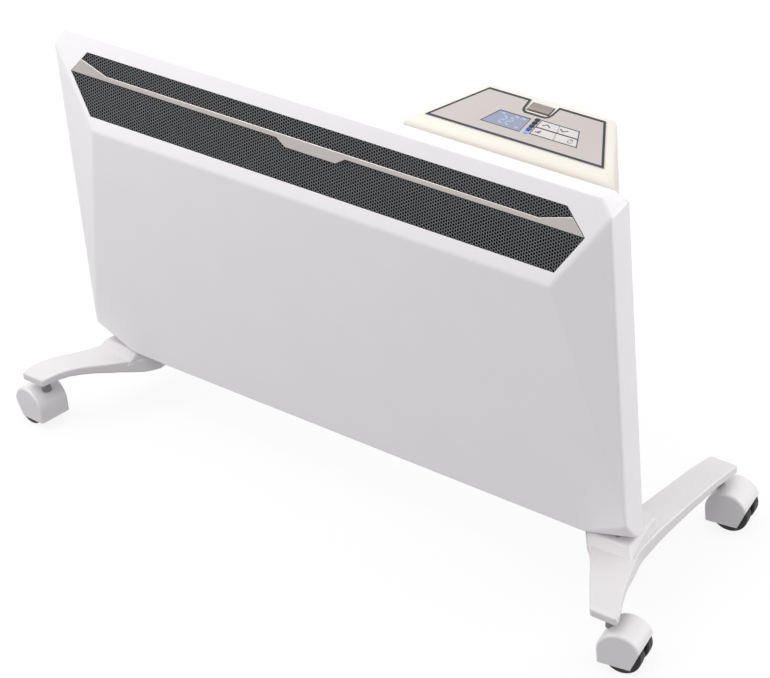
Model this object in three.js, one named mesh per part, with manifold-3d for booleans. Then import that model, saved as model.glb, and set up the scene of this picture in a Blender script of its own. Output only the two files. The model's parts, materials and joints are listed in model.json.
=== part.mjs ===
// Wall panel convector heater on castor feet, with a lift-off control unit behind its top edge.
// Millimetres. +X to the right seen from the front, +Y to the back, +Z up, floor at Z = 0.
// While the pieces are made, Y = 0 is the front of the panel's top edge; the whole heater is
// then moved along Y until the origin is below the middle of its box.
import * as THREE from "three";
import { ConvexGeometry } from "three/addons/geometries/ConvexGeometry.js";
import { mergeVertices } from "three/addons/utils/BufferGeometryUtils.js";
import Module from "manifold-3d";

const wasm = await Module();
wasm.setup();

// ---------------------------------------------------------------- driving sizes

const FIT = 0.3; // gap between pieces that touch
const SHEET = 1.2; // folded steel sheet of the panel and the casing

const panelWidth = 800;
const panelBottom = 89; // ground clearance
const panelHeight = 424.7;
const rimDepth = 20; // depth of the folded rim behind the top edge
const upperLean = 14.47; // degrees: the grille zone leans forward as it goes down
const foldDrop = 108.1; // height from the top edge to the fold under the grille
const foldHalf = 332.2; // half length of that fold
const lowerFaceY = -8; // front face at the bottom edge
const topChamferX = 15;
const topChamferZ = 19.2;
const sideFoldRise = 29.4; // height of the side facets' lower corner over the bottom edge
const bottomCornerX = 60;
const bottomCornerRise = 6;
const bottomCornerY = 7;

const grilleTop = 20.7; // these three run down the sloped face from the top edge
const grilleWaist = 48.1;
const grilleFoot = 95.2;
const grilleTopHalf = 345;
const grilleWaistHalf = 370.6;
const grilleFootHalf = 336.4;
const grilleLap = 4; // how far the mesh runs behind the opening's edge
const grilleThick = 1;

const stripHeight = 6;
const stripFlareHeight = 17.5;
const stripFlareHalf = 312; // where the strip begins to widen
const stripThick = 2.2;
const tabDrop = 7.8;
const tabTopHalf = 50;
const tabFootHalf = 36.5;

const casingDepth = 55; // the pan behind the rim
const casingFrontHalf = 388;
const casingTopInset = 13.7; // pan top below the panel top, at the rim
const casingTopSlope = 35; // how much lower the pan top is at its back
const casingFootRise = SHEET + 2 * FIT; // pan bottom over the panel bottom
const casingHeelRise = 14; // the rear lower edge is cut up by this
const casingHeelDepth = 13;
const flangeThick = 2;
const slotCount = 20;
const slotPitch = 28;
const slotWidth = 16;
const slotLength = 30;
const keyholeX = 220;
const keyholeHeight = 310; // over the panel bottom
const keyholeHead = 5;
const keyholeNeck = 2.6;
const keyholeRun = 14;

const elementHalf = 300; // half length of the heating element
const casingSideBay = 45; // beside the element, for its wiring
const casingRearHalf = elementHalf + casingSideBay;
const elementHeight = 62; // its axis over the panel bottom
const elementY = 28;
const elementReach = 27; // from its axis to the tip of a blade
const bladeThick = 3.2;
const bladeAngle = 38; // degrees from level
const bracketThick = 2;
const bracketGap = 12; // from the end of the element to its bracket
const bushRadius = 7;
const bushCollar = 10;
const terminalRadius = 3;
const terminalLength = 34;
const shieldStandoff = 11; // heat shield in front of the casing's back
const shieldHeight = 300;
const shieldFoot = 24; // over the panel bottom
const cutoutRadius = 8;
const cutoutDepth = 6.5;
const cutoutX = 140;
const cutoutHeight = 120; // over the panel bottom

const unitX = 236; // middle of the control unit
const unitLabelY = 34; // the label plane passes here, level with unitLabelZ
const unitLabelRise = -2.3; // that point over the panel top
const unitTilt = 14; // degrees: the label rises to the back
const unitDepthBelow = 59; // from that point down to the unit's underside
const unitWall = 2;
const labelFront = 12.5; // along the label plane
const labelRear = 75.2;
const labelFrontHalf = 118.3;
const labelRearHalf = 76.8;
const labelThick = 0.6;
const unitSplit = 22; // the cover's lower edge under the label plane
const unitRound = 5; // height of the rounded top edge
const unitTopMargin = 8; // cover beyond the label, at the sides
const unitMidMargin = 12;
const unitFootMargin = 0;
const unitTopFront = 3;
const unitTopRear = 80;
const unitMidFront = -3.5;
const unitMidRear = 84.5;
const unitFootFrontY = 22.6;
const unitFootRearY = 108;
const notchHalf = 18.5; // bay in the label's rear edge, round the rocker
const notchFront = 57;
const notchX = -2;
const rockerHalf = 13.5;
const rockerLength = 11;
const rockerMiddle = 66.5;
const rockerDepth = 5;
const windowFront = 27;
const windowRear = 49;
const windowLeftFront = -54;
const windowLeftRear = -43;
const windowRight = -2;
const windowThick = 2.4;
const lampX = 6;
const lampFirst = 28.9;
const lampPitch = 5.22;
const lampCount = 5;
const lampSize = 4;
const keyFront = 29.4;
const keyRear = 50.2;
const keyLeft = 11.5;
const keyFrontRight = 70.5;
const keyRearRight = 59;
const keyGap = 1.6;
const keyProud = 0.9; // key tops over the label plane
const keyThick = 3.4;
const keyRun = 0.4; // side clearance of a key
const boardDrop = 9;
const boardThick = 1.6;
const postRadius = 3;

const pocketSide = 6; // clearances of the casing's bay for the unit
const pocketFloorGap = 15;
const dockWidth = 60;
const dockDepth = 24;
const dockY = 56;
const dockSlotWidth = 48;
const dockSlotDepth = 12;
const plugPlay = 0.8;

const legTopZ = 77;
const legThick = 11;
const legTipZ = 73;
const legInnerX = 351;
const legOuterX = 397;
const legRearY = 206;
const legRearInnerX = 357;
const legRearOuterX = 394.5;
const legTipInner = [413.6, -96.7];
const legTipOuter = [449.2, -93.5];
const legBendInner = [374, -43];
const legNeck = [356.9, -20]; // here the front arm's inner edge turns in under the panel
const padBend = [338, -1];
const padInnerX = 324; // inner side of the pad under the body
const padFrontY = 17;
const padRearY = 48;
const padRun = 28; // its rear corner runs back to the rear arm
const legBendOuter = [413, -19];
const saddleFrontY = -8;
const saddleRearY = 60;
const saddleSlope = 8;
const legCrestY = -63; // highest line of the front arm
const legCrestZ = 80.6;
const legScrewRadius = 2;
const legScrewHead = 4.2;
const legScrewPlaces = [[376, 6], [366, 42]];

const wheelRadius = 22;
const wheelFacets = 20;
const wheelWidth = 14.4;
const wheelShoulder = 3;
const hubRadius = 8;
const hubProud = 0.6;
const axleRadius = 2.5;
const hoodRadius = 25.6;
const hoodWall = 1.8;
const hoodWeb = 8;
const hoodMiddle = [-3, 4.2]; // middle of its drum, from the axle
const hoodHeel = [-28.6, -10.4]; // its lower edge: heel, toe and mouth, from the axle
const hoodToe = [10, -13.5];
const hoodMouth = [20.5, 7.8];
const wheelSideGap = 0.7;
const wheelRunGap = 0.8;
const castorTrail = 18;
const stemRadius = 4;
const stemCollar = 6.5;
const stemCollarHeight = 5;
const bossRadius = 8.5;
const bossTopZ = 52;
const frontStem = [428.5, -81];
const rearStem = [376.3, 193.5];
const castorYaw = { front_right: 14.5, front_left: 6.5, rear_right: 13.5, rear_left: 9 }; // degrees

// ---------------------------------------------------------------- derived places

const half = panelWidth / 2;
const panelTop = panelBottom + panelHeight;
const leanRad = THREE.MathUtils.degToRad(upperLean);
const foldZ = panelTop - foldDrop;
const foldY = -foldDrop * Math.tan(leanRad);
const casingRearY = rimDepth - 1 + casingDepth;
const casingFlangeRearY = rimDepth - 1;
const casingTopZ = panelTop - casingTopInset;
const casingFootZ = panelBottom + casingFootRise;
const unitTiltRad = THREE.MathUtils.degToRad(unitTilt);
const unitLabelZ = panelTop + unitLabelRise;
const unitFootZ = unitLabelZ - unitDepthBelow;
const pocketFloorZ = unitFootZ - pocketFloorGap;
const labelTaper = (labelFrontHalf - labelRearHalf) / (labelRear - labelFront);
const labelHalfAt = (v) => labelFrontHalf - labelTaper * (v - labelFront);
const inLabelPlane = (y, z) => {
  const dy = y - unitLabelY;
  const dz = z - unitLabelZ;
  const c = Math.cos(unitTiltRad);
  const s = Math.sin(unitTiltRad);
  return [dy * c + dz * s, dz * c - dy * s];
};
const [unitFootFront, unitFootFrontZ] = inLabelPlane(unitFootFrontY, unitFootZ);
const [unitFootRear, unitFootRearZ] = inLabelPlane(unitFootRearY, unitFootZ);
const unitFootHalf = labelHalfAt(unitFootFront) + unitFootMargin;
const axleZ = wheelRadius * Math.cos(Math.PI / wheelFacets);
const hoodHalf = hoodWeb / 2 + wheelWidth + 2 * wheelSideGap + hoodWall;
const saddleTopZ = panelBottom - FIT;

// ---------------------------------------------------------------- finishes

const finish = (color, roughness, metalness) =>
  new THREE.MeshStandardMaterial({ color, roughness, metalness });
const whiteEnamel = finish(0xe6e5e8, 0.35, 0);
const charcoalMesh = finish(0x2e2e31, 0.6, 0.3);
const satinSilver = finish(0xbfbab6, 0.35, 0.8);
const creamPlastic = finish(0xf3efe4, 0.45, 0);
const whitePlastic = finish(0xefeff0, 0.3, 0);
const silverFilm = finish(0xcbc8c7, 0.5, 0.2);
const keyFilm = finish(0xd3d1d0, 0.5, 0.1);
const displayFilm = finish(0xb9c9e2, 0.15, 0);
const lampBlue = finish(0x24315c, 0.3, 0);
const smokeLens = finish(0xb7a79c, 0.2, 0);
const blackPlastic = finish(0x141416, 0.45, 0);
const steel = finish(0x9a9b9e, 0.35, 1);
const zincSheet = finish(0xa9acae, 0.45, 1);
const aluminium = finish(0xb4b6b8, 0.4, 1);
const ceramic = finish(0xe9e2d2, 0.6, 0);
const boardGreen = finish(0x2c5a3a, 0.5, 0);
const relayBlue = finish(0x27406e, 0.4, 0);

// ---------------------------------------------------------------- solid helpers

// A closed geometry as a solid that can be cut and joined.
function solid(geometry) {
  const loose = geometry.index ? geometry.toNonIndexed() : geometry.clone();
  loose.deleteAttribute("normal");
  loose.deleteAttribute("uv");
  const merged = mergeVertices(loose, 1e-4);
  const mesh = new wasm.Mesh({
    numProp: 3,
    vertProperties: merged.attributes.position.array,
    triVerts: new Uint32Array(merged.index.array),
  });
  return new wasm.Manifold(mesh);
}

function geometryOf(shape) {
  const { vertProperties, triVerts } = shape.getMesh();
  const geometry = new THREE.BufferGeometry();
  geometry.setAttribute("position", new THREE.BufferAttribute(new Float32Array(vertProperties), 3));
  geometry.setIndex(new THREE.BufferAttribute(new Uint32Array(triVerts), 1));
  const flat = geometry.toNonIndexed();
  flat.computeVertexNormals();
  return flat;
}

// The piece base, without each of the cuts.
function carve(base, cuts) {
  return geometryOf(cuts.reduce((rest, cut) => rest.subtract(solid(cut)), solid(base)));
}

function fuse(parts) {
  return geometryOf(parts.map(solid).reduce((all, next) => all.add(next)));
}

function common(a, b) {
  return geometryOf(solid(a).intersect(solid(b)));
}

function block([x0, x1], [y0, y1], [z0, z1]) {
  const box = new THREE.BoxGeometry(x1 - x0, y1 - y0, z1 - z0);
  return box.translate((x0 + x1) / 2, (y0 + y1) / 2, (z0 + z1) / 2);
}

// A straight-sided piece: an outline in X and Y, from z0 to z1.
function slab(outline, z0, z1) {
  const shape = new THREE.Shape(outline.map(([x, y]) => new THREE.Vector2(x, y)));
  const settings = { depth: z1 - z0, bevelEnabled: false };
  return new THREE.ExtrudeGeometry(shape, settings).translate(0, 0, z0);
}

// The same along X: an outline in Y and Z, from x0 to x1.
function rail(outline, x0, x1) {
  const turn = new THREE.Matrix4().set(0, 0, 1, 0, 1, 0, 0, 0, 0, 1, 0, 0, 0, 0, 0, 1);
  return slab(outline, x0, x1).applyMatrix4(turn);
}

// The same along Y: an outline in X and Z, from y0 to y1.
function plate(outline, y0, y1) {
  return slab(outline.map(([x, z]) => [x, z]), -y1, -y0).rotateX(Math.PI / 2);
}

// A turned piece round Y: a closed profile of [radius, y] points.
function turnedY(profile, facets) {
  const points = profile.map(([r, y]) => new THREE.Vector2(r, y));
  points.push(points[0].clone());
  return new THREE.LatheGeometry(points, facets);
}

// A turned piece round Z.
function turnedZ(profile, facets) {
  return turnedY(profile, facets).rotateX(Math.PI / 2);
}

function pinY(radius, y0, y1, facets = 20) {
  return new THREE.CylinderGeometry(radius, radius, y1 - y0, facets).translate(0, (y0 + y1) / 2, 0);
}

function pinZ(radius, z0, z1, facets = 20) {
  return pinY(radius, z0, z1, facets).rotateX(Math.PI / 2);
}

function pinX(radius, x0, x1, facets = 20) {
  return pinY(radius, -x1, -x0, facets).rotateZ(Math.PI / 2);
}

// A convex outline, anticlockwise, moved out by distance (in where it is below zero).
function grown(outline, distance) {
  const count = outline.length;
  return outline.map((corner, i) => {
    const before = outline[(i + count - 1) % count];
    const after = outline[(i + 1) % count];
    const a = [corner[0] - before[0], corner[1] - before[1]];
    const b = [after[0] - corner[0], after[1] - corner[1]];
    const la = Math.hypot(...a);
    const lb = Math.hypot(...b);
    const na = [a[1] / la, -a[0] / la];
    const nb = [b[1] / lb, -b[0] / lb];
    const k = distance / (1 + na[0] * nb[0] + na[1] * nb[1]);
    return [corner[0] + (na[0] + nb[0]) * k, corner[1] + (na[1] + nb[1]) * k];
  });
}

// Both sides of an outline whose right half runs anticlockwise from the middle below.
function bothSides(rightHalf) {
  return [...rightHalf, ...rightHalf.map(([x, y]) => [-x, y]).reverse()];
}

function hull(points) {
  return new ConvexGeometry(points.map(([x, y, z]) => new THREE.Vector3(x, y, z)));
}

function place(parent, name, geometry, material, x = 0, y = 0, z = 0) {
  const mesh = new THREE.Mesh(geometry, material);
  mesh.name = name;
  mesh.position.set(x, y, z);
  parent.add(mesh);
  return mesh;
}

const heater = new THREE.Group();

// ---------------------------------------------------------------- front panel

// Rear edge of the rim, in X and Z.
const rimOutline = bothSides([
  [half - topChamferX, panelBottom],
  [half, panelBottom + 5],
  [half, panelTop - 13.2],
  [half - 11, panelTop - 2.2],
]);

function panelShell(inset, rearY) {
  const side = (x, y, z) => [[x, y, z], [-x, y, z]];
  const low = panelBottom + inset;
  const front = [
    side(half - topChamferX - inset, inset, panelTop - inset),
    side(half - inset, -topChamferZ * Math.tan(leanRad) + inset, panelTop - topChamferZ),
    side(foldHalf - inset / 4, foldY + inset, foldZ),
    side(half - inset, lowerFaceY - 1.6 + inset, panelBottom + sideFoldRise),
    side(half - inset, bottomCornerY, low + bottomCornerRise),
    side(half - bottomCornerX, lowerFaceY + inset, low),
  ].flat();
  const rear = grown(rimOutline, -inset).map(([x, z]) => [x, rearY, z]);
  return hull([...front, ...rear]);
}

const grilleOutline = bothSides([
  [grilleFootHalf, -grilleFoot],
  [grilleWaistHalf, -grilleWaist],
  [grilleTopHalf, -grilleTop],
]);

const slope = new THREE.Group(); // lies in the sloped face: X right, Y up the slope, Z out
slope.position.z = panelTop;
slope.rotation.x = Math.PI / 2 - leanRad;
slope.updateMatrix();
heater.add(slope);

const legScrewHole = (sign, [x, y]) =>
  pinZ(legScrewRadius + FIT, 0, casingFootZ + 20, 12).translate(sign * x, y, 0);

place(heater, "front_panel", carve(panelShell(0, rimDepth), [
  panelShell(SHEET, rimDepth + 1),
  slab(grilleOutline, -12, 12).applyMatrix4(slope.matrix),
  legScrewHole(1, legScrewPlaces[0]),
  legScrewHole(-1, legScrewPlaces[0]),
]), whiteEnamel);

// ---------------------------------------------------------------- grille and trim strip

const meshFront = -SHEET - FIT;
place(slope, "grille_mesh", slab(grown(grilleOutline, grilleLap), meshFront - grilleThick, meshFront),
  charcoalMesh);

// The strip's ends follow the edge of the opening between its top and its waist.
const stripFoot = -grilleWaist + FIT;
const stripEdgeRun = (grilleWaistHalf - grilleTopHalf) / (grilleWaist - grilleTop);
const stripEnd = (y) => grilleWaistHalf + (-grilleWaist - y) * stripEdgeRun - 2 * FIT;
const stripFlareTop = stripFoot + stripFlareHeight;
const stripOutline = bothSides([
  [tabFootHalf, stripFoot - tabDrop],
  [tabTopHalf, stripFoot],
  [stripEnd(stripFoot), stripFoot],
  [stripEnd(stripFlareTop), stripFlareTop],
  [stripFlareHalf, stripFoot + stripHeight],
]);
place(slope, "trim_strip", slab(stripOutline, meshFront + FIT, meshFront + FIT + stripThick),
  satinSilver);

// ---------------------------------------------------------------- rear casing

function panShell(inset, frontY) {
  const rearY = casingRearY - inset;
  const side = (x, y, z) => [[x - inset, y, z], [inset - x, y, z]];
  return hull([
    side(casingFrontHalf, frontY, casingTopZ - inset),
    side(half - topChamferX - 3, frontY, casingFootZ + inset),
    side(casingFrontHalf, frontY, casingFootZ + inset + 5),
    side(casingRearHalf, rearY, casingTopZ - casingTopSlope - inset),
    side(casingRearHalf, rearY, casingFootZ + casingHeelRise + inset),
    side(casingRearHalf + 10, rearY - casingHeelDepth, casingFootZ + inset),
  ].flat());
}

const pocketLeft = unitX - unitFootHalf - pocketSide;

function pocket(grow) {
  return block([pocketLeft - grow, half + 20], [casingFlangeRearY - grow, casingRearY + 20],
    [pocketFloorZ - grow, panelTop + 20]);
}

function inletSlots() {
  const first = -((slotCount - 1) * slotPitch) / 2;
  return Array.from({ length: slotCount }, (_, i) => {
    const x = first + i * slotPitch;
    const y = rimDepth + 10;
    return block([x - slotWidth / 2, x + slotWidth / 2], [y, y + slotLength],
      [casingFootZ - 10, casingFootZ + 8]);
  });
}

// A hole for a screw head with a narrow run over it, through the casing's back.
function keyhole(x) {
  const z = panelBottom + keyholeHeight;
  const wall = [casingRearY - 5, casingRearY + 5];
  const head = pinY(keyholeHead, ...wall, 16).translate(x, 0, z);
  const neck = block([x - keyholeNeck, x + keyholeNeck], wall, [z, z + keyholeRun]);
  return fuse([head, neck]);
}

const glandBase = 11;
const glandShank = 7;
const glandX = padInnerX - glandBase - 12; // under the floor, just inside the right leg
const glandY = 44;

function rearCasing() {
  const flange = common(plate(rimOutline, casingFlangeRearY - flangeThick, casingFlangeRearY),
    panelShell(SHEET + FIT, rimDepth + 1));
  const outer = solid(fuse([flange, panShell(0, casingFlangeRearY - flangeThick / 2)]))
    .subtract(solid(pocket(0)));
  const inner = solid(panShell(SHEET, casingFlangeRearY - 3 * flangeThick))
    .subtract(solid(pocket(flangeThick)));
  const cuts = [
    ...inletSlots(),
    keyhole(-keyholeX),
    keyhole(keyholeX),
    legScrewHole(1, legScrewPlaces[1]),
    legScrewHole(-1, legScrewPlaces[1]),
    pinZ(glandShank + FIT, casingFootZ - 5, casingFootZ + 5, 20).translate(glandX, glandY, 0),
  ];
  return carve(geometryOf(outer.subtract(inner)), cuts);
}
place(heater, "rear_casing", rearCasing(), whiteEnamel);

// ---------------------------------------------------------------- heat shield and element

const casingBackInside = casingRearY - SHEET;
const shieldY = casingBackInside - shieldStandoff;
const shieldZ = panelBottom + shieldFoot;
place(heater, "heat_shield", rail([
  [shieldY, shieldZ],
  [casingBackInside - FIT, shieldZ],
  [casingBackInside - FIT, shieldZ + 1],
  [shieldY + 1, shieldZ + 1],
  [shieldY + 1, shieldZ + shieldHeight - 1],
  [casingBackInside - FIT, shieldZ + shieldHeight - 1],
  [casingBackInside - FIT, shieldZ + shieldHeight],
  [shieldY, shieldZ + shieldHeight],
], -elementHalf, elementHalf), zincSheet);

// Four blades in a cross round the sheathed core.
function elementOutline() {
  const step = THREE.MathUtils.degToRad(bladeAngle);
  const angles = [step, Math.PI - step, Math.PI + step, -step];
  const core = bladeThick * 1.8;
  return angles.flatMap((angle, i) => {
    const next = i === 3 ? angles[0] + 2 * Math.PI : angles[i + 1];
    const along = [Math.cos(angle), Math.sin(angle)];
    const aside = [-along[1] * bladeThick / 2, along[0] * bladeThick / 2];
    const start = angle < 0 ? angle + 2 * Math.PI : angle;
    const end = next < start ? next + 2 * Math.PI : next;
    const between = (start + end) / 2;
    return [
      [along[0] * elementReach - aside[0], along[1] * elementReach - aside[1]],
      [along[0] * elementReach + aside[0], along[1] * elementReach + aside[1]],
      [Math.cos(between) * core, Math.sin(between) * core],
    ];
  });
}

const element = new THREE.Group();
element.position.set(0, elementY, panelBottom + elementHeight);
heater.add(element);
place(element, "heating_element", rail(elementOutline(), -elementHalf, elementHalf), aluminium);

// Each end: a bracket on the casing's back, a ceramic bush in it and the terminal pin through it.
for (const [side, sign] of [["left", -1], ["right", 1]]) {
  const near = elementHalf + bracketGap;
  const span = (a, b) => (sign > 0 ? [a, b] : [-b, -a]);
  const back = casingBackInside - FIT - elementY;
  const arm = block(span(near, near + bracketThick), [-14, back], [-16, 16]);
  const foot = block(span(near, near + 14), [back - bracketThick, back], [-16, 16]);
  const bore = pinX(bushRadius + FIT, ...span(near - 5, near + 9), 16);
  place(element, `element_bracket_${side}`, carve(fuse([arm, foot]), [bore]), zincSheet);
  const bushProfile = [
    [terminalRadius + FIT, -4],
    [bushCollar, -4],
    [bushCollar, -FIT],
    [bushRadius, -FIT],
    [bushRadius, bracketThick + 4],
    [terminalRadius + FIT, bracketThick + 4],
  ];
  const bush = turnedY(bushProfile, 16).rotateZ(sign > 0 ? -Math.PI / 2 : Math.PI / 2);
  place(element, `element_bush_${side}`, bush, ceramic, sign * near);
  const pin = pinX(terminalRadius, ...span(elementHalf + FIT, elementHalf + terminalLength), 12);
  place(element, `element_terminal_${side}`, pin, steel);
}

const cutout = fuse([
  pinY(cutoutRadius, -cutoutDepth, 0, 16),
  block([-cutoutRadius - 6, cutoutRadius + 6], [-1.2, 0], [-4, 4]),
]);
place(heater, "thermal_cutout", cutout, blackPlastic, cutoutX, shieldY - FIT,
  panelBottom + cutoutHeight);

const sideBay = elementHalf + 5;
place(heater, "tilt_switch", block([-sideBay - 26, -sideBay], [-16, 0], [0, 34]), blackPlastic,
  0, casingBackInside - FIT, panelBottom + 110);

// A row of three wells for the conductors, open to the front.
const wells = [0, 1, 2].map((i) => block([sideBay + 4, sideBay + 22], [-20, -6],
  [4 + i * 13, 13 + i * 13]));
const blockBody = block([sideBay, sideBay + 26], [-16, 0], [0, 43]);
place(heater, "terminal_block", carve(blockBody, wells), ceramic, 0, casingBackInside - FIT,
  panelBottom + 110);

const glandProfile = [
  [3.8, -16],
  [6.5, -16],
  [8, -8],
  [glandBase, -5],
  [glandBase, -FIT],
  [glandShank, -FIT],
  [glandShank, 9],
  [3.8, 9],
];
place(heater, "cable_gland", turnedZ(glandProfile, 20), blackPlastic, glandX, glandY, casingFootZ);

// ---------------------------------------------------------------- legs

function legOutline(sign) {
  const shape = new THREE.Shape();
  const tip = [(legTipInner[0] + legTipOuter[0]) / 2, legTipInner[1] - 3];
  shape.moveTo(...legTipInner);
  shape.quadraticCurveTo(...tip, ...legTipOuter);
  shape.quadraticCurveTo(...legBendOuter, legOuterX, 8);
  shape.lineTo(legRearOuterX, legRearY - 3);
  shape.lineTo(legRearOuterX - 4, legRearY);
  shape.lineTo(legRearInnerX + 4, legRearY);
  shape.lineTo(legRearInnerX, legRearY - 3);
  shape.lineTo(legInnerX, padRearY + padRun);
  shape.lineTo(padInnerX, padRearY);
  shape.lineTo(padInnerX, padFrontY);
  shape.quadraticCurveTo(...padBend, ...legNeck);
  shape.quadraticCurveTo(...legBendInner, ...legTipInner);
  return shape.getPoints(5).slice(0, -1).map(({ x, y }) => [sign * x, y]);
}

// The side of a leg: drooping tips, a crest on the front arm and the saddle under the body.
const legProfile = [
  [legTipInner[1] - 6, legTipZ - legThick],
  [legCrestY, legCrestZ - legThick],
  [saddleFrontY - saddleSlope, legTopZ - legThick],
  [legRearY - 40, legTopZ - legThick],
  [legRearY + 2, legTipZ - legThick],
  [legRearY + 2, legTipZ],
  [legRearY - 40, legTopZ],
  [saddleRearY + saddleSlope, legTopZ],
  [saddleRearY, saddleTopZ],
  [saddleFrontY + 4, saddleTopZ],
  [saddleFrontY - saddleSlope, legTopZ - 1],
  [legCrestY, legCrestZ],
  [legTipInner[1] - 6, legTipZ - 1],
];

function leg(sign) {
  const outline = legOutline(sign);
  const plan = slab(sign > 0 ? outline : outline.reverse(), 0, panelTop);
  const side = rail(legProfile, ...(sign > 0 ? [200, 600] : [-600, -200]));
  const stemBores = [frontStem, rearStem].map(([x, y]) =>
    pinZ(stemRadius + FIT, 0, legTipZ - 4).translate(sign * x, y, 0));
  const heads = legScrewPlaces.map(([x, y]) =>
    pinZ(legScrewHead + FIT, 0, legTopZ - legThick + 4, 12).translate(sign * x, y, 0));
  const holes = legScrewPlaces.map((spot) => legScrewHole(sign, spot));
  return carve(common(plan, side), [...stemBores, ...heads, ...holes]);
}

for (const [side, sign] of [["left", -1], ["right", 1]]) {
  place(heater, `leg_${side}`, leg(sign), whitePlastic);
  for (const [spot, [x, y]] of [["front", legScrewPlaces[0]], ["rear", legScrewPlaces[1]]]) {
    const seat = legTopZ - legThick + 4 - FIT;
    const screw = fuse([
      pinZ(legScrewHead, seat - 3, seat, 12),
      pinZ(legScrewRadius, seat - 1, casingFootZ + 7, 12),
    ]);
    place(heater, `leg_screw_${side}_${spot}`, screw, steel, sign * x, y);
  }
}

// ---------------------------------------------------------------- castors

// A castor's own frame: stem on Z, trail along +X, axle along Y.
function hood() {
  const drumAt = (radius, span) => pinY(radius, ...span, 32)
    .translate(castorTrail + hoodMiddle[0], 0, axleZ + hoodMiddle[1]);
  const boss = pinZ(bossRadius, axleZ, bossTopZ, 20);
  const keep = plate([
    [hoodHeel[0] - 20, hoodHeel[1]],
    hoodHeel,
    hoodToe,
    hoodMouth,
    [hoodMouth[0] + 10, hoodMouth[1] + 20],
    [hoodMouth[0] + 10, 3 * hoodRadius],
    [hoodHeel[0] - 20, 3 * hoodRadius],
  ], -2 * hoodHalf, 2 * hoodHalf).translate(castorTrail, 0, axleZ);
  const wells = [-1, 1].map((sign) => {
    const inner = hoodWeb / 2;
    const outer = hoodHalf - hoodWall;
    const span = sign > 0 ? [inner, outer] : [-outer, -inner];
    const reach = wheelRadius + wheelRunGap;
    const round = pinY(reach, ...span, 32).translate(castorTrail, 0, axleZ);
    const mouth = block([castorTrail - reach, castorTrail + reach], span, [-10, axleZ]);
    return fuse([drumAt(hoodRadius - hoodWall, span), round, mouth]);
  });
  const bore = pinZ(stemRadius + FIT, axleZ + wheelRadius - 1, bossTopZ + 5, 16);
  const axleBore = pinY(axleRadius + FIT, -hoodHalf + hoodWall / 2, hoodHalf - hoodWall / 2, 16)
    .translate(castorTrail, 0, axleZ);
  const drum = drumAt(hoodRadius, [-hoodHalf, hoodHalf]);
  return carve(common(fuse([drum, boss]), keep), [...wells, bore, axleBore]);
}

const wheelProfile = [
  [axleRadius + FIT, -hubProud],
  [hubRadius, -hubProud],
  [hubRadius, 1],
  [wheelRadius - wheelShoulder - 2, 1],
  [wheelRadius - wheelShoulder, 0],
  [wheelRadius, wheelShoulder],
  [wheelRadius, wheelWidth - wheelShoulder],
  [wheelRadius - wheelShoulder, wheelWidth],
  [axleRadius + FIT, wheelWidth],
];

// The lathe starts a facet's corner on +Z here, so half a facet's turn lays a flat on the floor.
function wheel(sign) {
  const turned = turnedY(wheelProfile, wheelFacets).rotateY(Math.PI / wheelFacets);
  return sign > 0 ? turned.rotateX(Math.PI) : turned;
}

function stem() {
  return fuse([
    pinZ(stemRadius, axleZ + wheelRadius - 1 + FIT, legTipZ - 4 - FIT),
    pinZ(stemCollar, bossTopZ + FIT, bossTopZ + stemCollarHeight),
  ]);
}

// Each castor trails outwards, turned back by its own yaw as it was left standing.
function castor(name, [x, y], sign) {
  const yaw = castorYaw[name];
  const group = new THREE.Group();
  group.position.set(sign * x, y, 0);
  group.rotation.z = THREE.MathUtils.degToRad(sign > 0 ? yaw : 180 - yaw);
  heater.add(group);
  place(group, `castor_hood_${name}`, hood(), whitePlastic);
  place(group, `castor_stem_${name}`, stem(), blackPlastic);
  const axleHalf = hoodHalf - hoodWall / 2 - FIT;
  place(group, `castor_axle_${name}`, pinY(axleRadius, -axleHalf, axleHalf), steel,
    castorTrail, 0, axleZ);
  const start = hoodWeb / 2 + wheelSideGap;
  const [first, second] = sign > 0 ? ["front", "back"] : ["back", "front"];
  place(group, `wheel_${first}_of_${name}`, wheel(1), blackPlastic, castorTrail, -start, axleZ);
  place(group, `wheel_${second}_of_${name}`, wheel(-1), blackPlastic, castorTrail, start, axleZ);
}

castor("front_right", frontStem, 1);
castor("front_left", frontStem, -1);
castor("rear_right", rearStem, 1);
castor("rear_left", rearStem, -1);

// ---------------------------------------------------------------- control unit

const unit = new THREE.Group(); // lies in the label plane: X right, Y to the back, Z out
unit.position.set(unitX, unitLabelY, unitLabelZ);
unit.rotation.x = unitTiltRad;
heater.add(unit);

// Shell of the unit: three rings, at the label, under the rounded edge and at the foot.
function unitShell(inset) {
  const ring = (front, rear, margin, frontZ, rearZ) => {
    const wide = labelHalfAt(front) + margin - inset;
    const narrow = labelHalfAt(rear) + margin - inset;
    return [[wide, front + inset, frontZ], [-wide, front + inset, frontZ],
      [narrow, rear - inset, rearZ], [-narrow, rear - inset, rearZ]];
  };
  return hull([
    ...ring(unitTopFront, unitTopRear, unitTopMargin, -FIT - inset, -FIT - inset),
    ...ring(unitMidFront, unitMidRear, unitMidMargin, -unitRound, -unitRound),
    ...ring(unitFootFront, unitFootRear, unitFootMargin, unitFootFrontZ + inset,
      unitFootRearZ + inset),
  ]);
}

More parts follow.
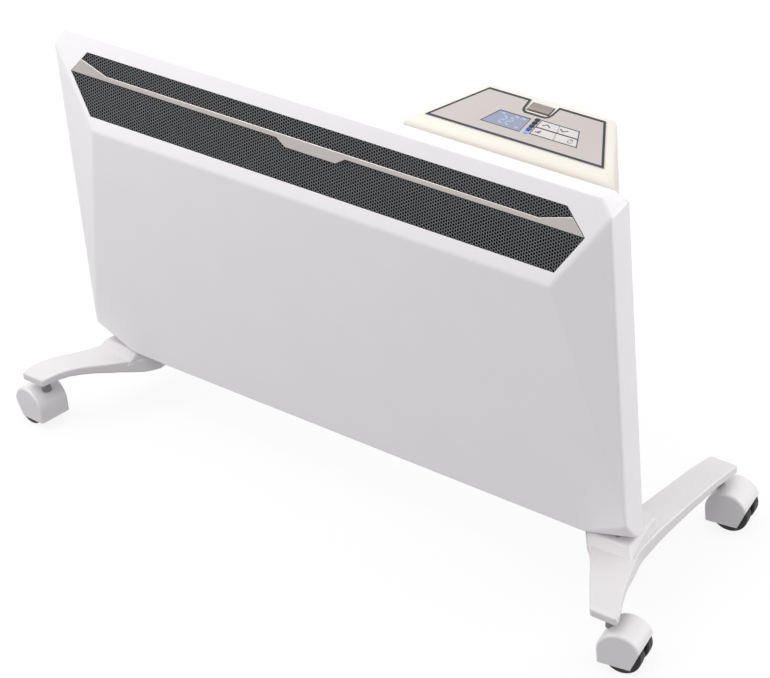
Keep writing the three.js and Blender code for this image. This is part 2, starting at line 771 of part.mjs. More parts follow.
const labelOutline = [
  [-labelFrontHalf, labelFront],
  [labelFrontHalf, labelFront],
  [labelRearHalf, labelRear],
  [notchX + notchHalf, labelRear],
  [notchX + notchHalf - 3, notchFront],
  [notchX - notchHalf + 3, notchFront],
  [notchX - notchHalf, labelRear],
  [-labelRearHalf, labelRear],
];
const windowOutline = [
  [windowLeftFront, windowFront],
  [windowRight, windowFront],
  [windowRight, windowRear],
  [windowLeftRear, windowRear],
];
const lampMiddle = lampFirst + (lampPitch * (lampCount - 1)) / 2;
const lampSlotHalf = (lampPitch * (lampCount - 1) + lampSize) / 2;
const lampOutline = [
  [lampX - lampSize / 2, lampMiddle - lampSlotHalf],
  [lampX + lampSize / 2, lampMiddle - lampSlotHalf],
  [lampX + lampSize / 2, lampMiddle + lampSlotHalf],
  [lampX - lampSize / 2, lampMiddle + lampSlotHalf],
];

// The key field is a slanted block of two rows by two columns.
function keyOutline(column, row) {
  const depth = (keyRear - keyFront - keyGap) / 2;
  const front = keyFront + row * (depth + keyGap);
  const rightAt = (v) =>
    keyFrontRight + ((keyRearRight - keyFrontRight) * (v - keyFront)) / (keyRear - keyFront);
  const edge = (v, side) => {
    const width = (rightAt(v) - keyLeft - keyGap) / 2;
    return keyLeft + column * (width + keyGap) + side * width;
  };
  return [
    [edge(front, 0), front],
    [edge(front, 1), front],
    [edge(front + depth, 1), front + depth],
    [edge(front + depth, 0), front + depth],
  ];
}
const keys = [
  ["key_lower", 0, 1],
  ["key_raise", 1, 1],
  ["key_power_level", 0, 0],
  ["key_mode", 1, 0],
];

const rockerBay = [
  [notchX - rockerHalf - 1, rockerMiddle - rockerLength / 2 - 1.2],
  [notchX + rockerHalf + 1, rockerMiddle - rockerLength / 2 - 1.2],
  [notchX + rockerHalf + 1, rockerMiddle + rockerLength / 2 + 1.2],
  [notchX - rockerHalf - 1, rockerMiddle + rockerLength / 2 + 1.2],
];

const faceCuts = (z0, z1) => [
  slab(grown(windowOutline, FIT), z0, z1),
  slab(grown(lampOutline, FIT), z0, z1),
  ...keys.map(([, column, row]) => slab(grown(keyOutline(column, row), keyRun), z0, z1)),
];

place(unit, "unit_label", carve(slab(labelOutline, 0, labelThick), faceCuts(-1, 2)), silverFilm);
place(unit, "display_window", slab(windowOutline, labelThick - windowThick, labelThick - 0.2),
  displayFilm);

const lampPosts = Array.from({ length: lampCount }, (_, i) => {
  const v = lampFirst + i * lampPitch;
  return block([lampX - lampSize / 2, lampX + lampSize / 2], [v - lampSize / 2, v + lampSize / 2],
    [-1, labelThick]);
});
place(unit, "light_guide", fuse([slab(lampOutline, -windowThick, -0.5), ...lampPosts]), lampBlue);

for (const [name, column, row] of keys) {
  place(unit, name, slab(keyOutline(column, row), keyProud - keyThick, keyProud), keyFilm);
}

const boardTop = -boardDrop;
const boardOutline = [
  [-labelHalfAt(8) + 14, 8],
  [labelHalfAt(8) - 14, 8],
  [labelHalfAt(56) - 14, 56],
  [-labelHalfAt(56) + 14, 56],
];
const postPlaces = [[-88, 14], [88, 14], [-72, 44], [78, 44]];

function unitCover() {
  const top = block([-400, 400], [-200, 300], [-unitSplit, 50]);
  const shell = solid(unitShell(0)).subtract(solid(unitShell(unitWall))).intersect(solid(top));
  const ceiling = -FIT - unitWall;
  const posts = postPlaces.map(([x, v]) =>
    pinZ(postRadius, boardTop + FIT, ceiling + 1, 12).translate(x, v, 0));
  const cuts = [...faceCuts(-10 + boardThick, 2), slab(rockerBay, -4, 2)];
  return carve(fuse([geometryOf(shell), ...posts]), cuts);
}
place(unit, "unit_cover", unitCover(), creamPlastic);

const plugHalfX = dockSlotWidth / 2 - plugPlay;
const plugHalfY = dockSlotDepth / 2 - plugPlay;

function unitBase() {
  const low = block([-400, 400], [-200, 300], [-200, -unitSplit - FIT]);
  const shell = solid(unitShell(0)).subtract(solid(unitShell(unitWall))).intersect(solid(low));
  return geometryOf(shell);
}
place(unit, "unit_base", unitBase(), creamPlastic);

place(unit, "circuit_board", slab(boardOutline, boardTop - boardThick, boardTop), boardGreen);
const boardUnder = boardTop - boardThick - FIT;
place(unit, "relay", block([-62, -34], [20, 36], [boardUnder - 15, boardUnder]), relayBlue);
place(unit, "transformer", block([20, 56], [16, 46], [boardUnder - 18, boardUnder]), charcoalMesh);

// The rocker: a shallow V on top, and a round underside about its pivot.
const rockerPivot = -rockerDepth;
const rockerProfile = [
  [-rockerLength / 2, 1.6],
  [-rockerLength / 2 + 0.6, -rockerDepth + 1],
  [-2, rockerPivot - 2.5],
  [2, rockerPivot - 2.5],
  [rockerLength / 2 - 0.6, -rockerDepth + 1],
  [rockerLength / 2, 1.6],
  [0, 0.2],
];
place(unit, "rocker_switch", rail(rockerProfile, -rockerHalf, rockerHalf), smokeLens,
  notchX, rockerMiddle, 0);

// Its housing hangs under the cover and is open on top.
const housingTop = -FIT - unitWall - FIT;
const housingOutline = grown(rockerBay, 1.5);
place(unit, "switch_housing", carve(slab(housingOutline, -16, housingTop),
  [slab(grown(rockerBay, -0.5), -12, 0)]), blackPlastic);

// ---------------------------------------------------------------- dock under the unit

const dockTop = unitFootZ - 2 * FIT;
place(heater, "dock_socket", carve(
  block([unitX - dockWidth / 2, unitX + dockWidth / 2], [dockY - dockDepth / 2, dockY + dockDepth / 2],
    [pocketFloorZ + FIT, dockTop]),
  [block([unitX - dockSlotWidth / 2, unitX + dockSlotWidth / 2],
    [dockY - dockSlotDepth / 2, dockY + dockSlotDepth / 2], [pocketFloorZ + 2, dockTop + 5])],
), blackPlastic);
place(heater, "dock_plug", block([unitX - plugHalfX, unitX + plugHalfX],
  [dockY - plugHalfY, dockY + plugHalfY], [pocketFloorZ + 3, unitFootZ - FIT]), blackPlastic);

// ---------------------------------------------------------------- origin

heater.updateMatrixWorld(true);
const bounds = new THREE.Box3().setFromObject(heater, true);
heater.position.y = -(bounds.min.y + bounds.max.y) / 2;
heater.updateMatrixWorld(true);

export default heater;
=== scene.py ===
"""Looks of a wall panel convector heater on castor legs, put together piece by piece.

Lengths are in millimetres where a name says nothing else. Sections work in the maker's own place:
X to the right, Y back from the front of the panel's top edge, Z up from the floor. on_frame turns
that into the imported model's metres.
"""

import json
import math

import bmesh
import bpy
from mathutils import Matrix, Vector


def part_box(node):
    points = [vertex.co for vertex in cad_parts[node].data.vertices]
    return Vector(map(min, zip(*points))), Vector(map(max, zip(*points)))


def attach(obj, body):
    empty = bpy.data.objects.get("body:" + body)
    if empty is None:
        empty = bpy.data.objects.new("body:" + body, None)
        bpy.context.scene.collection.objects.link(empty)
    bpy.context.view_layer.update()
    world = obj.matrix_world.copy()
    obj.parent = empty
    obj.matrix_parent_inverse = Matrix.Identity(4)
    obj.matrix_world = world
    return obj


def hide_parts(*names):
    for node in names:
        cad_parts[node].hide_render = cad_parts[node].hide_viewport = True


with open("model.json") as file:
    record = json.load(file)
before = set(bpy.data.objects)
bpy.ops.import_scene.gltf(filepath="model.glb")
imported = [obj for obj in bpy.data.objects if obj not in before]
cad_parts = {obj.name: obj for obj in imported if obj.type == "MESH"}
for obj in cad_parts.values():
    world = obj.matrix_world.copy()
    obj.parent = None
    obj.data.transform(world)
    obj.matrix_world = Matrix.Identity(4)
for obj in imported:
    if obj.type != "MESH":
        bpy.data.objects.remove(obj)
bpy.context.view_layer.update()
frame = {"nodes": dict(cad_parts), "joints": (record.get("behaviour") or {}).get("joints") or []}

# ---------------------------------------------------------------- camera
# The picture is 770 pixels wide. The lens is long, about 140 mm on a 36 mm film, and the camera
# stands to the right of the heater, over it, rolled a little to the left.

RIM_DEPTH = 20
CAMERA_PLACE = (2022.49, -2072.17, 1984.71)
CAMERA_AZIMUTH = 0.75591
CAMERA_DROP = 0.549419
CAMERA_ROLL = -0.104146
FOCAL_PIXELS = 3010.3
PICTURE_WIDTH = 770
FILM_WIDTH = 36
NEAR_METRES, FAR_METRES = 0.1, 30

panel_low, panel_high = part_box("front_panel")
front_y = panel_high.y - RIM_DEPTH / 1000
on_frame = Matrix.Translation((0, front_y, 0)) @ Matrix.Scale(0.001, 4)


def add_camera():
    lens = bpy.data.cameras.new("camera")
    lens.sensor_fit = "HORIZONTAL"
    lens.sensor_width = FILM_WIDTH
    lens.lens = FOCAL_PIXELS * FILM_WIDTH / PICTURE_WIDTH
    lens.clip_start = NEAR_METRES
    lens.clip_end = FAR_METRES
    camera = bpy.data.objects.new("camera", lens)
    turn = (
        Matrix.Rotation(CAMERA_AZIMUTH, 4, "Z")
        @ Matrix.Rotation(math.pi / 2 - CAMERA_DROP, 4, "X")
        @ Matrix.Rotation(CAMERA_ROLL, 4, "Z")
    )
    camera.matrix_world = Matrix.Translation(on_frame @ Vector(CAMERA_PLACE)) @ turn
    bpy.context.scene.collection.objects.link(camera)
    bpy.context.scene.camera = camera


add_camera()

# ---------------------------------------------------------------- studio
# A white sweep of painted board: it shows as plain white to the camera and in reflections, and
# takes only a faint shadow. The room is bright; one soft lamp stands over the heater's left end
# and one to its right.

WHITE = "#FFFFFF"
BOARD_WHITE = "#FEFEFE"
BOARD_BOUNCE = "#707074"
SHADOW_SHARE = 0.12
FLOOR_HALF_METRES = 12
FLOOR_DROP_METRES = 0.0005
ROOM_STRENGTH = 1.03
# Each lamp's place, the point it looks at and its width, all in metres, and its watts.
LAMPS = {
    "upper_left_lamp": ((-0.75, -0.6, 1.3), (-0.1, 0, 0.3), 0.6, 5.7),
    "right_lamp": ((1.7, 1.1, 0.6), (0.3, 0, 0.3), 1.0, 9.6),
}


def linear(code):
    """An sRGB colour written as hex, as linear red, green, blue and alpha."""
    parts = [int(code[i : i + 2], 16) / 255 for i in (1, 3, 5)]
    return [p / 12.92 if p <= 0.04045 else ((p + 0.055) / 1.055) ** 2.4 for p in parts] + [1]


def add_node(tree, kind, inputs=None, **settings):
    """Adds a node. Each of inputs is a value for that socket, or another node's output."""
    made = tree.nodes.new(kind)
    for name, value in settings.items():
        setattr(made, name, value)
    for name, value in (inputs or {}).items():
        if isinstance(value, bpy.types.NodeSocket):
            tree.links.new(value, made.inputs[name])
        else:
            made.inputs[name].default_value = value
    return made


def new_material(name):
    material = bpy.data.materials.new(name)
    material.use_nodes = True
    material.node_tree.nodes.clear()
    return material, material.node_tree


def sweep_board():
    """Plain white to the camera, with a share of its own shading; darker where it only bounces."""
    material, tree = new_material("painted_board")
    path = add_node(tree, "ShaderNodeLightPath")
    seen = path.outputs["Is Camera Ray"]
    tone = add_node(
        tree,
        "ShaderNodeMix",
        {0: seen, 6: linear(BOARD_BOUNCE), 7: linear(BOARD_WHITE)},
        data_type="RGBA",
    )
    lit = add_node(tree, "ShaderNodeBsdfDiffuse", {"Color": tone.outputs[2]})
    plain = add_node(tree, "ShaderNodeEmission", {"Color": linear(BOARD_WHITE), "Strength": 1.0})
    for other in ("Is Glossy Ray", "Is Transmission Ray"):
        either = {0: seen, 1: path.outputs[other]}
        seen = add_node(tree, "ShaderNodeMath", either, operation="MAXIMUM").outputs[0]
    share = add_node(tree, "ShaderNodeMath", {0: seen, 1: 1 - SHADOW_SHARE}, operation="MULTIPLY")
    both = add_node(
        tree,
        "ShaderNodeMixShader",
        {0: share.outputs[0], 1: lit.outputs[0], 2: plain.outputs[0]},
    )
    add_node(tree, "ShaderNodeOutputMaterial", {"Surface": both.outputs[0]})
    return material


def add_sweep():
    shape = bmesh.new()
    bmesh.ops.create_grid(shape, x_segments=1, y_segments=1, size=FLOOR_HALF_METRES)
    bmesh.ops.translate(shape, verts=shape.verts, vec=(0, 0, -FLOOR_DROP_METRES))
    mesh = bpy.data.meshes.new("floor")
    shape.to_mesh(mesh)
    shape.free()
    floor = bpy.data.objects.new("floor", mesh)
    mesh.materials.append(sweep_board())
    bpy.context.scene.collection.objects.link(floor)


def light_room():
    """A bright room, whose walls show as plain white to the camera."""
    world = bpy.data.worlds.new("studio_air")
    world.use_nodes = True
    tree = world.node_tree
    tree.nodes.clear()
    path = add_node(tree, "ShaderNodeLightPath")
    soft, plain = (
        add_node(tree, "ShaderNodeBackground", {"Color": linear(WHITE), "Strength": strength})
        for strength in (ROOM_STRENGTH, 1.0)
    )
    both = add_node(
        tree,
        "ShaderNodeMixShader",
        {0: path.outputs["Is Camera Ray"], 1: soft.outputs[0], 2: plain.outputs[0]},
    )
    add_node(tree, "ShaderNodeOutputWorld", {"Surface": both.outputs[0]})
    bpy.context.scene.world = world


def add_lamp(name, place, aim, width, watts):
    light = bpy.data.lights.new(name, "AREA")
    light.shape = "SQUARE"
    light.size = width
    light.energy = watts
    lamp = bpy.data.objects.new(name, light)
    turn = (Vector(place) - Vector(aim)).to_track_quat("Z", "Y").to_matrix().to_4x4()
    lamp.matrix_world = Matrix.Translation(place) @ turn
    bpy.context.scene.collection.objects.link(lamp)


add_sweep()
light_room()
for name, (place, aim, width, watts) in LAMPS.items():
    add_lamp(name, place, aim, width, watts)
bpy.context.scene.view_settings.view_transform = "Standard"

# ---------------------------------------------------------------- front panel
# One sheet of 1.2 mm steel, folded to a shallow faceted tray with a 20 mm rim and punched for the
# grille. It is baked white enamel: smooth, half gloss, with the faint orange peel of powder paint.
# Behind, it keeps a flat primer painted nearly black. This is painted shade for the dark inside
# that shows through the grille.

SHEET = 1.2
HALF = panel_high.x * 1000
TOP = panel_high.z * 1000
FOOT = panel_low.z * 1000
UPPER_LEAN = math.radians(14.47)
FOLD_DROP = 108.1
FOLD_HALF = 332.2
SHOULDER_DROP = 19.2
# The corners of the right half: the face from its top to its foot, then the rim from there up.
PANEL_CORNERS = [
    (HALF - 15, 0, TOP),
    (HALF, -SHOULDER_DROP * math.tan(UPPER_LEAN), TOP - SHOULDER_DROP),
    (FOLD_HALF, -FOLD_DROP * math.tan(UPPER_LEAN), TOP - FOLD_DROP),
    (HALF, -9.6, FOOT + 29.4),
    (HALF, 7, FOOT + 6),
    (HALF - 60, -8, FOOT),
    (HALF - 15, RIM_DEPTH, FOOT),
    (HALF, RIM_DEPTH, FOOT + 5),
    (HALF, RIM_DEPTH, TOP - 13.2),
    (HALF - 11, RIM_DEPTH, TOP - 2.2),
]
# The opening's corners, in the plane of the leaning zone, from the middle of the top edge.
GRILLE_CORNERS = [(345, -20.7), (370.6, -48.1), (336.4, -95.2)]
OPENING_INSET = 12
FOLD_RADIUS = 2.8
PANEL_EDGE = 0.35
FLAT_TURN = math.radians(1.2)
ENAMEL = ("#F6F3F5", "#F2EFF2")
# The primer's two colours are painted shade: nearly black, so that the inside of the heater looks
# dark.
PRIMER_AND_PAINTED_SHADE = ("#1C1C1E", "#171719")
# The part of a noise's range that it mostly keeps to, and how far the roughness follows it.
NOISE_LOW, NOISE_HIGH = 0.3, 0.7
GRAIN_SPREAD = 0.04

slope_place = Matrix.Translation((0, 0, TOP)) @ Matrix.Rotation(math.pi / 2 - UPPER_LEAN, 4, "X")


def scaled_coordinates(tree):
    """The piece's own coordinates in millimetres."""
    place = add_node(tree, "ShaderNodeTexCoord")
    return add_node(
        tree,
        "ShaderNodeVectorMath",
        {0: place.outputs["Object"], 1: (1000, 1000, 1000)},
        operation="MULTIPLY",
    ).outputs[0]


def shaded(tree, drift, grain, shades, roughness, spread, depth_mm, sockets):
    """A shader whose colour follows one pattern, and whose gloss and relief follow another."""
    light, dark = shades
    colour = add_node(
        tree, "ShaderNodeMix", {0: drift, 6: linear(dark), 7: linear(light)}, data_type="RGBA"
    )
    rub = add_node(
        tree,
        "ShaderNodeMapRange",
        {0: grain, 1: NOISE_LOW, 2: NOISE_HIGH, 3: roughness - spread, 4: roughness + spread},
    )
    relief = {"Height": grain, "Distance": depth_mm / 1000, "Strength": 1.0}
    bump = add_node(tree, "ShaderNodeBump", relief)
    shader = add_node(
        tree,
        "ShaderNodeBsdfPrincipled",
        {
            "Base Color": colour.outputs[2],
            "Roughness": rub.outputs[0],
            "Normal": bump.outputs[0],
            **sockets,
        },
    )
    add_node(tree, "ShaderNodeOutputMaterial", {"Surface": shader.outputs[0]})


def surface(name, shades, roughness, grain_mm, depth_mm, cloud_mm=60, **sockets):
    """A finish whose colour drifts between two shades, with a fine grain of the given size.

    The peel of enamel is drawn at its real size. Paint and moulded plastics have a grain of about
    a tenth of a millimetre, too fine to show, so theirs is drawn five or more times as coarse.
    """
    material, tree = new_material(name)
    place = scaled_coordinates(tree)
    cloud, grain = (
        add_node(
            tree, "ShaderNodeTexNoise", {"Vector": place, "Scale": 1 / size, "Detail": detail}
        ).outputs[0]
        for size, detail in ((cloud_mm, 3.0), (grain_mm, 2.0))
    )
    shaded(tree, cloud, grain, shades, roughness, GRAIN_SPREAD, depth_mm, sockets)
    return material


def piece(shape, name, body, materials, replaces=(), smooth_angle=38, place=on_frame):
    """Turns a bmesh in the maker's millimetres into a piece that rides on a body."""
    bmesh.ops.transform(shape, matrix=place, verts=shape.verts)
    mesh = bpy.data.meshes.new(name)
    shape.to_mesh(mesh)
    shape.free()
    mesh.shade_smooth()
    mesh.set_sharp_from_angle(angle=math.radians(smooth_angle))
    for material in materials:
        mesh.materials.append(material)
    made = bpy.data.objects.new(name, mesh)
    bpy.context.scene.collection.objects.link(made)
    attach(made, body)
    if replaces:
        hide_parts(*replaces)
    return made


def even_shading(made):
    even = made.modifiers.new("even_shading", "WEIGHTED_NORMAL")
    even.keep_sharp = True


def soften(made, width_mm, segments=2, angle=40):
    """Rounds a finished piece's sharp edges and evens its shading."""
    bevel = made.modifiers.new("soft_edges", "BEVEL")
    bevel.width = width_mm / 1000
    bevel.segments = segments
    bevel.limit_method = "ANGLE"
    bevel.angle_limit = math.radians(angle)
    bevel.harden_normals = False
    even_shading(made)


def give_wall(made, thickness_mm):
    """Thickens an open shape inwards, into a sheet or a shell."""
    wall = made.modifiers.new("wall", "SOLIDIFY")
    wall.thickness = thickness_mm / 1000
    wall.offset = -1
    return wall


def both_sides(points):
    return [*points, *[(-x, *rest) for x, *rest in points]]


def hull_of(points):
    """The closed shape stretched over some points, with whole flat faces."""
    shape = bmesh.new()
    for point in points:
        shape.verts.new(point)
    found = bmesh.ops.convex_hull(shape, input=shape.verts)
    inner = found["geom_interior"] + found["geom_unused"]
    loose = {v for v in inner if isinstance(v, bmesh.types.BMVert)}
    bmesh.ops.delete(shape, geom=list(loose), context="VERTS")
    bmesh.ops.dissolve_limit(shape, angle_limit=FLAT_TURN, verts=shape.verts, edges=shape.edges)
    return shape


def folds_over(shape, degrees):
    """The edges between two faces that turn by more than so many degrees."""
    least = math.radians(degrees)
    return [e for e in shape.edges if len(e.link_faces) == 2 and e.calc_face_angle() > least]


def round_edges(shape, edges, radius, segments):
    bmesh.ops.bevel(
        shape,
        geom=edges,
        offset=radius,
        offset_type="OFFSET",
        segments=segments,
        profile=0.5,
        affect="EDGES",
        material=-1,
        clamp_overlap=True,
    )


def folded_panel():
    shape = hull_of(both_sides(PANEL_CORNERS))
    out = slope_place.to_3x3() @ Vector((0, 0, 1))
    leaning = [f for f in shape.faces if f.normal.angle(out) < math.radians(3)]
    band = max(leaning, key=lambda f: f.calc_area())
    # Any inset gives the opening its six corners, which then move to their places.
    bmesh.ops.inset_region(shape, faces=[band], thickness=OPENING_INSET, depth=0)
    corners = [slope_place @ Vector((x, y, 0)) for x, y in both_sides(GRILLE_CORNERS)]
    for vert in band.verts:
        vert.co = min(corners, key=lambda c: (c - vert.co).length)
    back = [f for f in shape.faces if f.normal.y > 0.99]
    bmesh.ops.delete(shape, geom=[band, *back], context="FACES_ONLY")
    round_edges(shape, folds_over(shape, 2), FOLD_RADIUS, 4)
    return shape


enamel = surface("baked_enamel", ENAMEL, roughness=0.34, grain_mm=1.6, depth_mm=0.012, IOR=1.5)
# Painted shade as well as primer: the near-black inside stands for the shade within the closed box.
primer_and_painted_shade = surface("near_black_primer_and_painted_shade", PRIMER_AND_PAINTED_SHADE, roughness=0.8, grain_mm=0.8, depth_mm=0.01)
panel = piece(folded_panel(), "folded_panel", "heater_body", [enamel, primer_and_painted_shade],
              ["front_panel"])
sheet = give_wall(panel, SHEET)
sheet.material_offset = 1
sheet.material_offset_rim = 0
soften(panel, PANEL_EDGE, angle=60)

# ---------------------------------------------------------------- grille
# A flat steel plate punched all over with six-sided holes in staggered rows and painted charcoal,
# which looks dull beside the enamel. It is clamped behind the opening, so the panel's cut edge
# stands proud of it all round.

HOLE_PITCH = 3.75
HOLE_RADIUS = 1.74
PLATE_THICK = 0.8
PLATE_LAP = 4
PLATE_GAP = 0.3
PLATE_WELD = 0.02
GRILLE_MIDDLE = -58
# Powers of two, enough to cover the opening before the plate is cut to it.
GRILLE_PAIRS = 128
GRILLE_ROWS = 32
CHARCOAL = ("#6F7074", "#626367")


def everything(shape):
    return shape.verts[:] + shape.edges[:] + shape.faces[:]


def verts_of(geometry):
    return [v for v in geometry if isinstance(v, bmesh.types.BMVert)]


def doubled(shape, count, step):
    """Repeats the shape count times, a power of two, each a step further on."""
    made = 1
    while made < count:
        copies = bmesh.ops.duplicate(shape, geom=everything(shape))["geom"]
        bmesh.ops.translate(shape, verts=verts_of(copies), vec=Vector(step) * made)
        made *= 2


def open_middle(shape, border):
    """Leaves only a border of a flat sheet, of the given width."""
    middle = shape.faces[:]
    bmesh.ops.inset_region(
        shape, faces=middle, thickness=border, use_boundary=True, use_even_offset=True
    )
    bmesh.ops.delete(shape, geom=middle, context="FACES_ONLY")


def punched_plate():
    shape = bmesh.new()
    cell = HOLE_PITCH / math.sqrt(3)
    column = HOLE_PITCH * math.sqrt(3) / 2
    bmesh.ops.create_circle(shape, cap_ends=True, segments=6, radius=cell)
    bmesh.ops.rotate(shape, verts=shape.verts, matrix=Matrix.Rotation(math.pi / 6, 3, "Z"))
    open_middle(shape, (cell - HOLE_RADIUS) * math.cos(math.pi / 6))
    doubled(shape, GRILLE_ROWS, (0, HOLE_PITCH, 0))
    doubled(shape, 2, (column, HOLE_PITCH / 2, 0))
    doubled(shape, GRILLE_PAIRS, (2 * column, 0, 0))
    first_hole = (-GRILLE_PAIRS * column, -GRILLE_ROWS / 2 * HOLE_PITCH + GRILLE_MIDDLE, 0)
    bmesh.ops.translate(shape, verts=shape.verts, vec=first_hole)
    right = [Vector((x, y, 0)) for x, y in GRILLE_CORNERS]
    around = right + [Vector((-v.x, v.y, 0)) for v in reversed(right)]
    for corner, following in zip(around, around[1:] + around[:1]):
        along = following - corner
        away = Vector((-along.y, along.x, 0)).normalized()
        if away.dot(corner - Vector((0, GRILLE_MIDDLE, 0))) < 0:
            away = -away
        bmesh.ops.bisect_plane(
            shape,
            geom=everything(shape),
            plane_co=corner + away * PLATE_LAP,
            plane_no=away,
            clear_outer=True,
        )
    bmesh.ops.remove_doubles(shape, verts=shape.verts, dist=PLATE_WELD)
    bmesh.ops.recalc_face_normals(shape, faces=shape.faces)
    if sum(f.normal.z for f in shape.faces) < 0:
        bmesh.ops.reverse_faces(shape, faces=shape.faces)
    bmesh.ops.translate(shape, verts=shape.verts, vec=(0, 0, -SHEET - PLATE_GAP))
    return shape


charcoal = surface(
    "charcoal_paint", CHARCOAL, roughness=0.38, grain_mm=0.9, depth_mm=0.01, IOR=1.5
)
plate = piece(punched_plate(), "punched_grille", "heater_body", [charcoal],
              ["grille_mesh"], place=on_frame @ slope_place)
give_wall(plate, PLATE_THICK)

# ---------------------------------------------------------------- trim strip
# A pressed aluminium strip, clipped across the grille. Its ends widen to the corners of the
# opening and a plain tab hangs from its middle. Satin anodising gives it a soft, warm silver with
# fine lines along it.

# The lines of the brush are really under 0.1 mm wide, too fine to show, so they are drawn wider.
BRUSH_MM = 0.35
BRUSH_DRAWN = 0.02
BRUSH_DEPTH = 0.01
BRUSH_SPREAD = 0.06
SATIN_SILVER = ("#C4BFBD", "#BDB8B4")
# In metres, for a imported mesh: which vertices are one, and which faces are flat together.
PACKED_WELD = 0.00002
PACKED_TURN = math.radians(0.6)


def copied(node):
    """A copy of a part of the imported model, in its place in metres, with whole flat faces."""
    shape = bmesh.new()
    shape.from_mesh(frame["nodes"][node].data)
    bmesh.ops.remove_doubles(shape, verts=shape.verts, dist=PACKED_WELD)
    bmesh.ops.dissolve_limit(shape, angle_limit=PACKED_TURN, verts=shape.verts, edges=shape.edges)
    return shape


def redressed(node, body, material, width_mm, segments=2, angle=40):
    """The same part with rounded edges, standing for it."""
    made = piece(copied(node), f"{node}_finished", body, [material], [node],
                 place=Matrix.Identity(4))
    if width_mm:
        soften(made, width_mm, segments, angle)
    return made


def satin_metal(name, shades, roughness):
    """Metal brushed along X: a noise drawn out to long fine lines, fifty times their width."""
    material, tree = new_material(name)
    drawn = add_node(
        tree,
        "ShaderNodeVectorMath",
        {0: scaled_coordinates(tree), 1: (BRUSH_DRAWN / BRUSH_MM, 1 / BRUSH_MM, 1 / BRUSH_MM)},
        operation="MULTIPLY",
    )
    lines = add_node(tree, "ShaderNodeTexNoise", {"Vector": drawn.outputs[0], "Scale": 1.0})
    pattern = lines.outputs[0]
    metal = {"Metallic": 1.0}
    shaded(tree, pattern, pattern, shades, roughness, BRUSH_SPREAD, BRUSH_DEPTH, metal)
    return material


anodised = satin_metal("satin_anodised_aluminium", SATIN_SILVER, roughness=0.42)
redressed("trim_strip", "heater_body", anodised, width_mm=0.7, segments=3)

# ---------------------------------------------------------------- rear casing and what it carries
# A deep tray of the same white sheet, flanged into the panel's rim. Air comes in by the slots in
# its foot. At its right it is folded in to leave a bay for the control unit. Its gland and dock
# are black ABS, a dark satin.

# A point well inside the casing: the faces that look towards it get the nearly black primer, which
# is painted shade for the casing's dark inside.
CASING_HEART = (0, 16, 300)
BLACK_ABS = ("#1D1D20", "#161618")

casing = redressed("rear_casing", "heater_body", enamel, width_mm=0.5, angle=30)
# The inner faces take the near-black primer, as painted shade.
casing.data.materials.append(primer_and_painted_shade)
heart = on_frame @ Vector(CASING_HEART)
for face in casing.data.polygons:
    face.material_index = int(face.normal.dot(heart - face.center) > 0)
black_abs = surface(
    "black_moulded_abs", BLACK_ABS, roughness=0.5, grain_mm=0.5, depth_mm=0.02, IOR=1.5
)
redressed("cable_gland", "heater_body", black_abs, width_mm=0.4)
redressed("dock_socket", "heater_body", black_abs, width_mm=0.6)

# ---------------------------------------------------------------- control unit shells
# Two cream ABS mouldings with a fine satin texture, snapped together round the middle. The top
# edge is well rounded, and the shell is hooked into the bay behind the panel's right end.

UNIT_X = 236
UNIT_Y = 34
UNIT_Z = TOP - 2.3
UNIT_TILT = math.radians(14)
LABEL_FRONT, LABEL_REAR = 12.5, 75.2
LABEL_FRONT_HALF, LABEL_REAR_HALF = 118.3, 76.8
UNIT_DEPTH = 59
UNIT_FOOT_FRONT, UNIT_FOOT_REAR = 22.6, 108
# The upper rings of corners: front (y, z), rear (y, z), and how far they reach past the label.
UNIT_UPPER_RINGS = [((3, -0.3), (80, -0.3), 8), ((-3.5, -5), (84.5, -5), 12)]
UNIT_EDGE = 4.2
UNIT_WALL = 2
UNIT_SPLIT = 22
UNIT_JOINT = 0.3
NOTCH_X = -2
# The switch's bay in the cover: its limits along X, Y and Z.
BAY = ((NOTCH_X - 15, NOTCH_X + 15), (59.8, 73.2), (-5, 3))
CREAM = ("#EAE6DD", "#E6E1D6")

unit_place = Matrix.Translation((UNIT_X, UNIT_Y, UNIT_Z)) @ Matrix.Rotation(UNIT_TILT, 4, "X")
in_unit = on_frame @ unit_place


def label_half(y):
    taper = (LABEL_FRONT_HALF - LABEL_REAR_HALF) / (LABEL_REAR - LABEL_FRONT)
    return LABEL_FRONT_HALF - taper * (y - LABEL_FRONT)


def unit_ring(front, rear, margin):
    return both_sides([(label_half(y) + margin, y, z) for y, z in (front, rear)])


def unit_hull():
    foot = [
        (unit_place.inverted() @ Vector((0, y, UNIT_Z - UNIT_DEPTH))).yz
        for y in (UNIT_FOOT_FRONT, UNIT_FOOT_REAR)
    ]
    rings = [*UNIT_UPPER_RINGS, (*foot, 0)]
    shape = hull_of([corner for ring in rings for corner in unit_ring(*ring)])
    round_edges(shape, folds_over(shape, 8), UNIT_EDGE, 5)
    return shape


def unit_half(upper):
    shape = unit_hull()
    bmesh.ops.bisect_plane(
        shape,
        geom=everything(shape),
        plane_co=(0, 0, -UNIT_SPLIT if upper else -UNIT_SPLIT - UNIT_JOINT),
        plane_no=(0, 0, -1 if upper else 1),
        clear_outer=True,
    )
    return shape


def add_box(shape, x, y, z):
    """Adds a box between two limits along each way."""
    size = Matrix.Diagonal((x[1] - x[0], y[1] - y[0], z[1] - z[0], 1))
    middle = Matrix.Translation((sum(x) / 2, sum(y) / 2, sum(z) / 2))
    bmesh.ops.create_cube(shape, size=1, matrix=middle @ size)
    return shape


